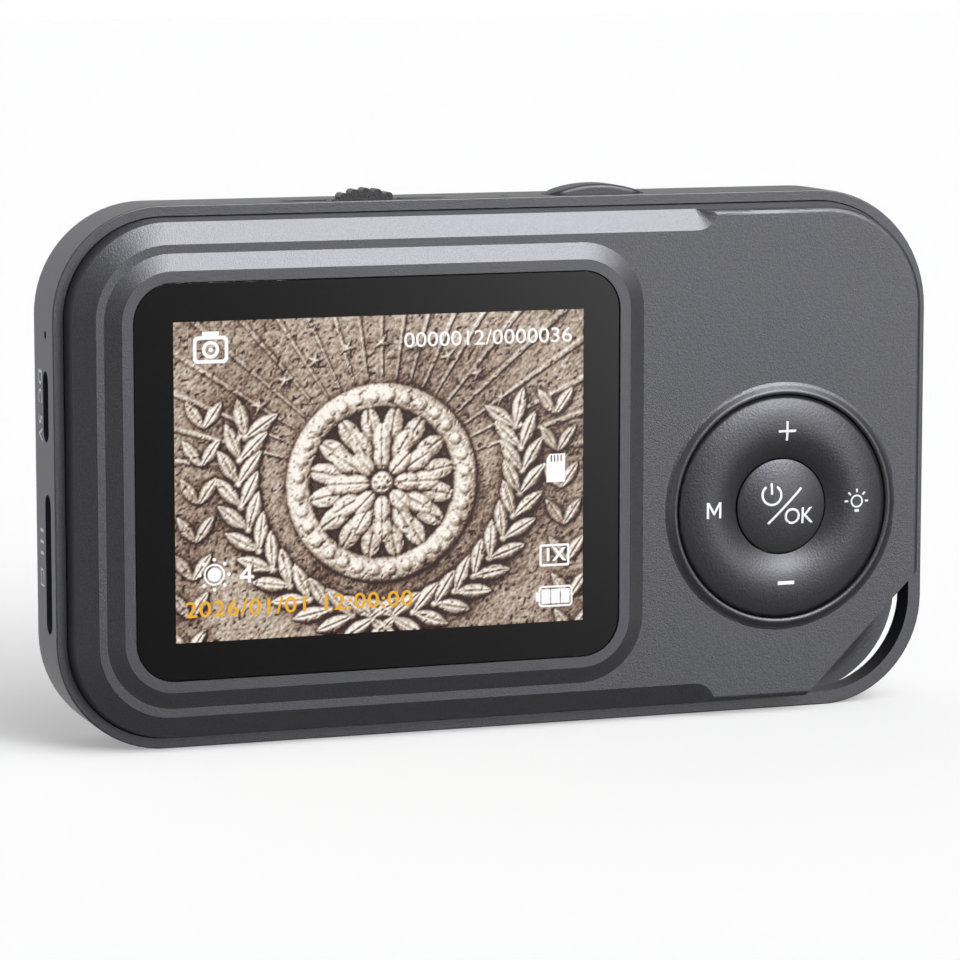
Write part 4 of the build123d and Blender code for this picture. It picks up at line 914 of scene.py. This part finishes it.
def on_end_wall(name, mesh, y, z):
    """Lay a flat mesh on the left end wall: its X runs down the wall, its Y points to the front."""
    quarter = Matrix(((0, 0, -1, 0), (0, -1, 0, 0), (-1, 0, 0, 0), (0, 0, 0, 1)))
    spot = Matrix.Translation(((wall_x - label_gap) * mm, y * mm, z * mm))
    place = spot @ quarter @ Matrix.Scale(mm, 4)
    return sheet_piece(name, mesh, place, "root", "side_ink", label_thickness)


supply = text_mesh("label_supply", "DC 5V", 1.75, 0.03, 1.15, 1.08)
on_end_wall("label_supply", supply, label_y, 39.1)
on_end_wall("label_card", flat_mesh("label_card", [
    [(-1.0, -0.75), (1.0, -0.75), (1.0, 0.75), (-0.5, 0.75), (-1.0, 0.35)],
    [(-0.8, -0.55), (0.8, -0.55), (0.8, 0.55), (-0.4, 0.55), (-0.8, 0.25)],
]), label_y, 19.4)
on_end_wall("label_bars", flat_mesh("label_bars", [
    rounded_loop(-1.3 + 1.3 * i, 0, 0.35, 1.5, 0.1) for i in range(3)
]), label_y, 23.5)
print("labels on the wall at", round(wall_x, 2))

# %% [markdown]
# ## Screw drives, drawn as painted shade
# Each case screw has a cross recess. On so small a head the recess is not cut: a near-black cross of two
# bars, painted shade of the recess, is laid on the head, whose surface is found by a ray cast from
# behind.
# The four places are the middles of the loose parts of the screws' own mesh.

# %% Crosses in the screw heads
drive_length = 1.3
drive_width = 0.34
drive_r = 0.1
drive_gap = 0.015
drive_thickness = 0.01
off_middle = 0.0001

shape = bmesh.new()
shape.from_mesh(dressed["case_screws"].data)
unseen = set(shape.verts)
screw_middles = []
while unseen:
    queue = [unseen.pop()]
    island = []
    while queue:
        point = queue.pop()
        island.append(point.co.copy())
        near = [edge.other_vert(point) for edge in point.link_edges]
        queue += [other for other in near if other in unseen]
        unseen -= set(near)
    low = Vector([min(co[axis] for co in island) for axis in range(3)])
    high = Vector([max(co[axis] for co in island) for axis in range(3)])
    screw_middles.append((low + high) / 2)
shape.free()
print(len(screw_middles), "screws found")

# %% [markdown]
# Two flat bars are joined into one cross and turned a different way on each screw, as screws that
# were driven by hand are. The ray is aimed a little off the middle of the head.

# %% Laying the crosses
face_back = Matrix.Rotation(math.radians(180), 4, "Z") @ Matrix.Rotation(math.radians(90), 4, "X")
screw_tree = BVHTree.FromObject(dressed["case_screws"], bpy.context.evaluated_depsgraph_get())
for number, middle in enumerate(screw_middles):
    name = f"screw_recess_shade_{number + 1}"
    start = Vector((middle.x + off_middle, ray_start, middle.z))
    hit = screw_tree.ray_cast(start, Vector((0, -1, 0)))[0]
    cross = flat_mesh(name, [rounded_loop(0, 0, drive_length, drive_width, drive_r)])
    second = flat_mesh("second_bar", [rounded_loop(0, 0, drive_width, drive_length, drive_r)])
    shape = bmesh.new()
    shape.from_mesh(cross)
    shape.from_mesh(second)
    shape.to_mesh(cross)
    shape.free()
    turned = Matrix.Rotation(math.radians(25 + 40 * number), 4, "Y") @ face_back
    spot = Matrix.Translation((middle.x, hit.y + drive_gap * mm, middle.z))
    place = spot @ turned @ Matrix.Scale(mm, 4)
    # the near-black cross is painted shade standing for the recess
    sheet_piece(name, cross, place, "root", "border_ink_and_recess_shade", drive_thickness)
print(len(screw_middles), "crosses laid")

# %% [markdown]
# The view transform is Standard, so that a colour renders as it is written.

bpy.context.scene.view_settings.view_transform = "Standard"
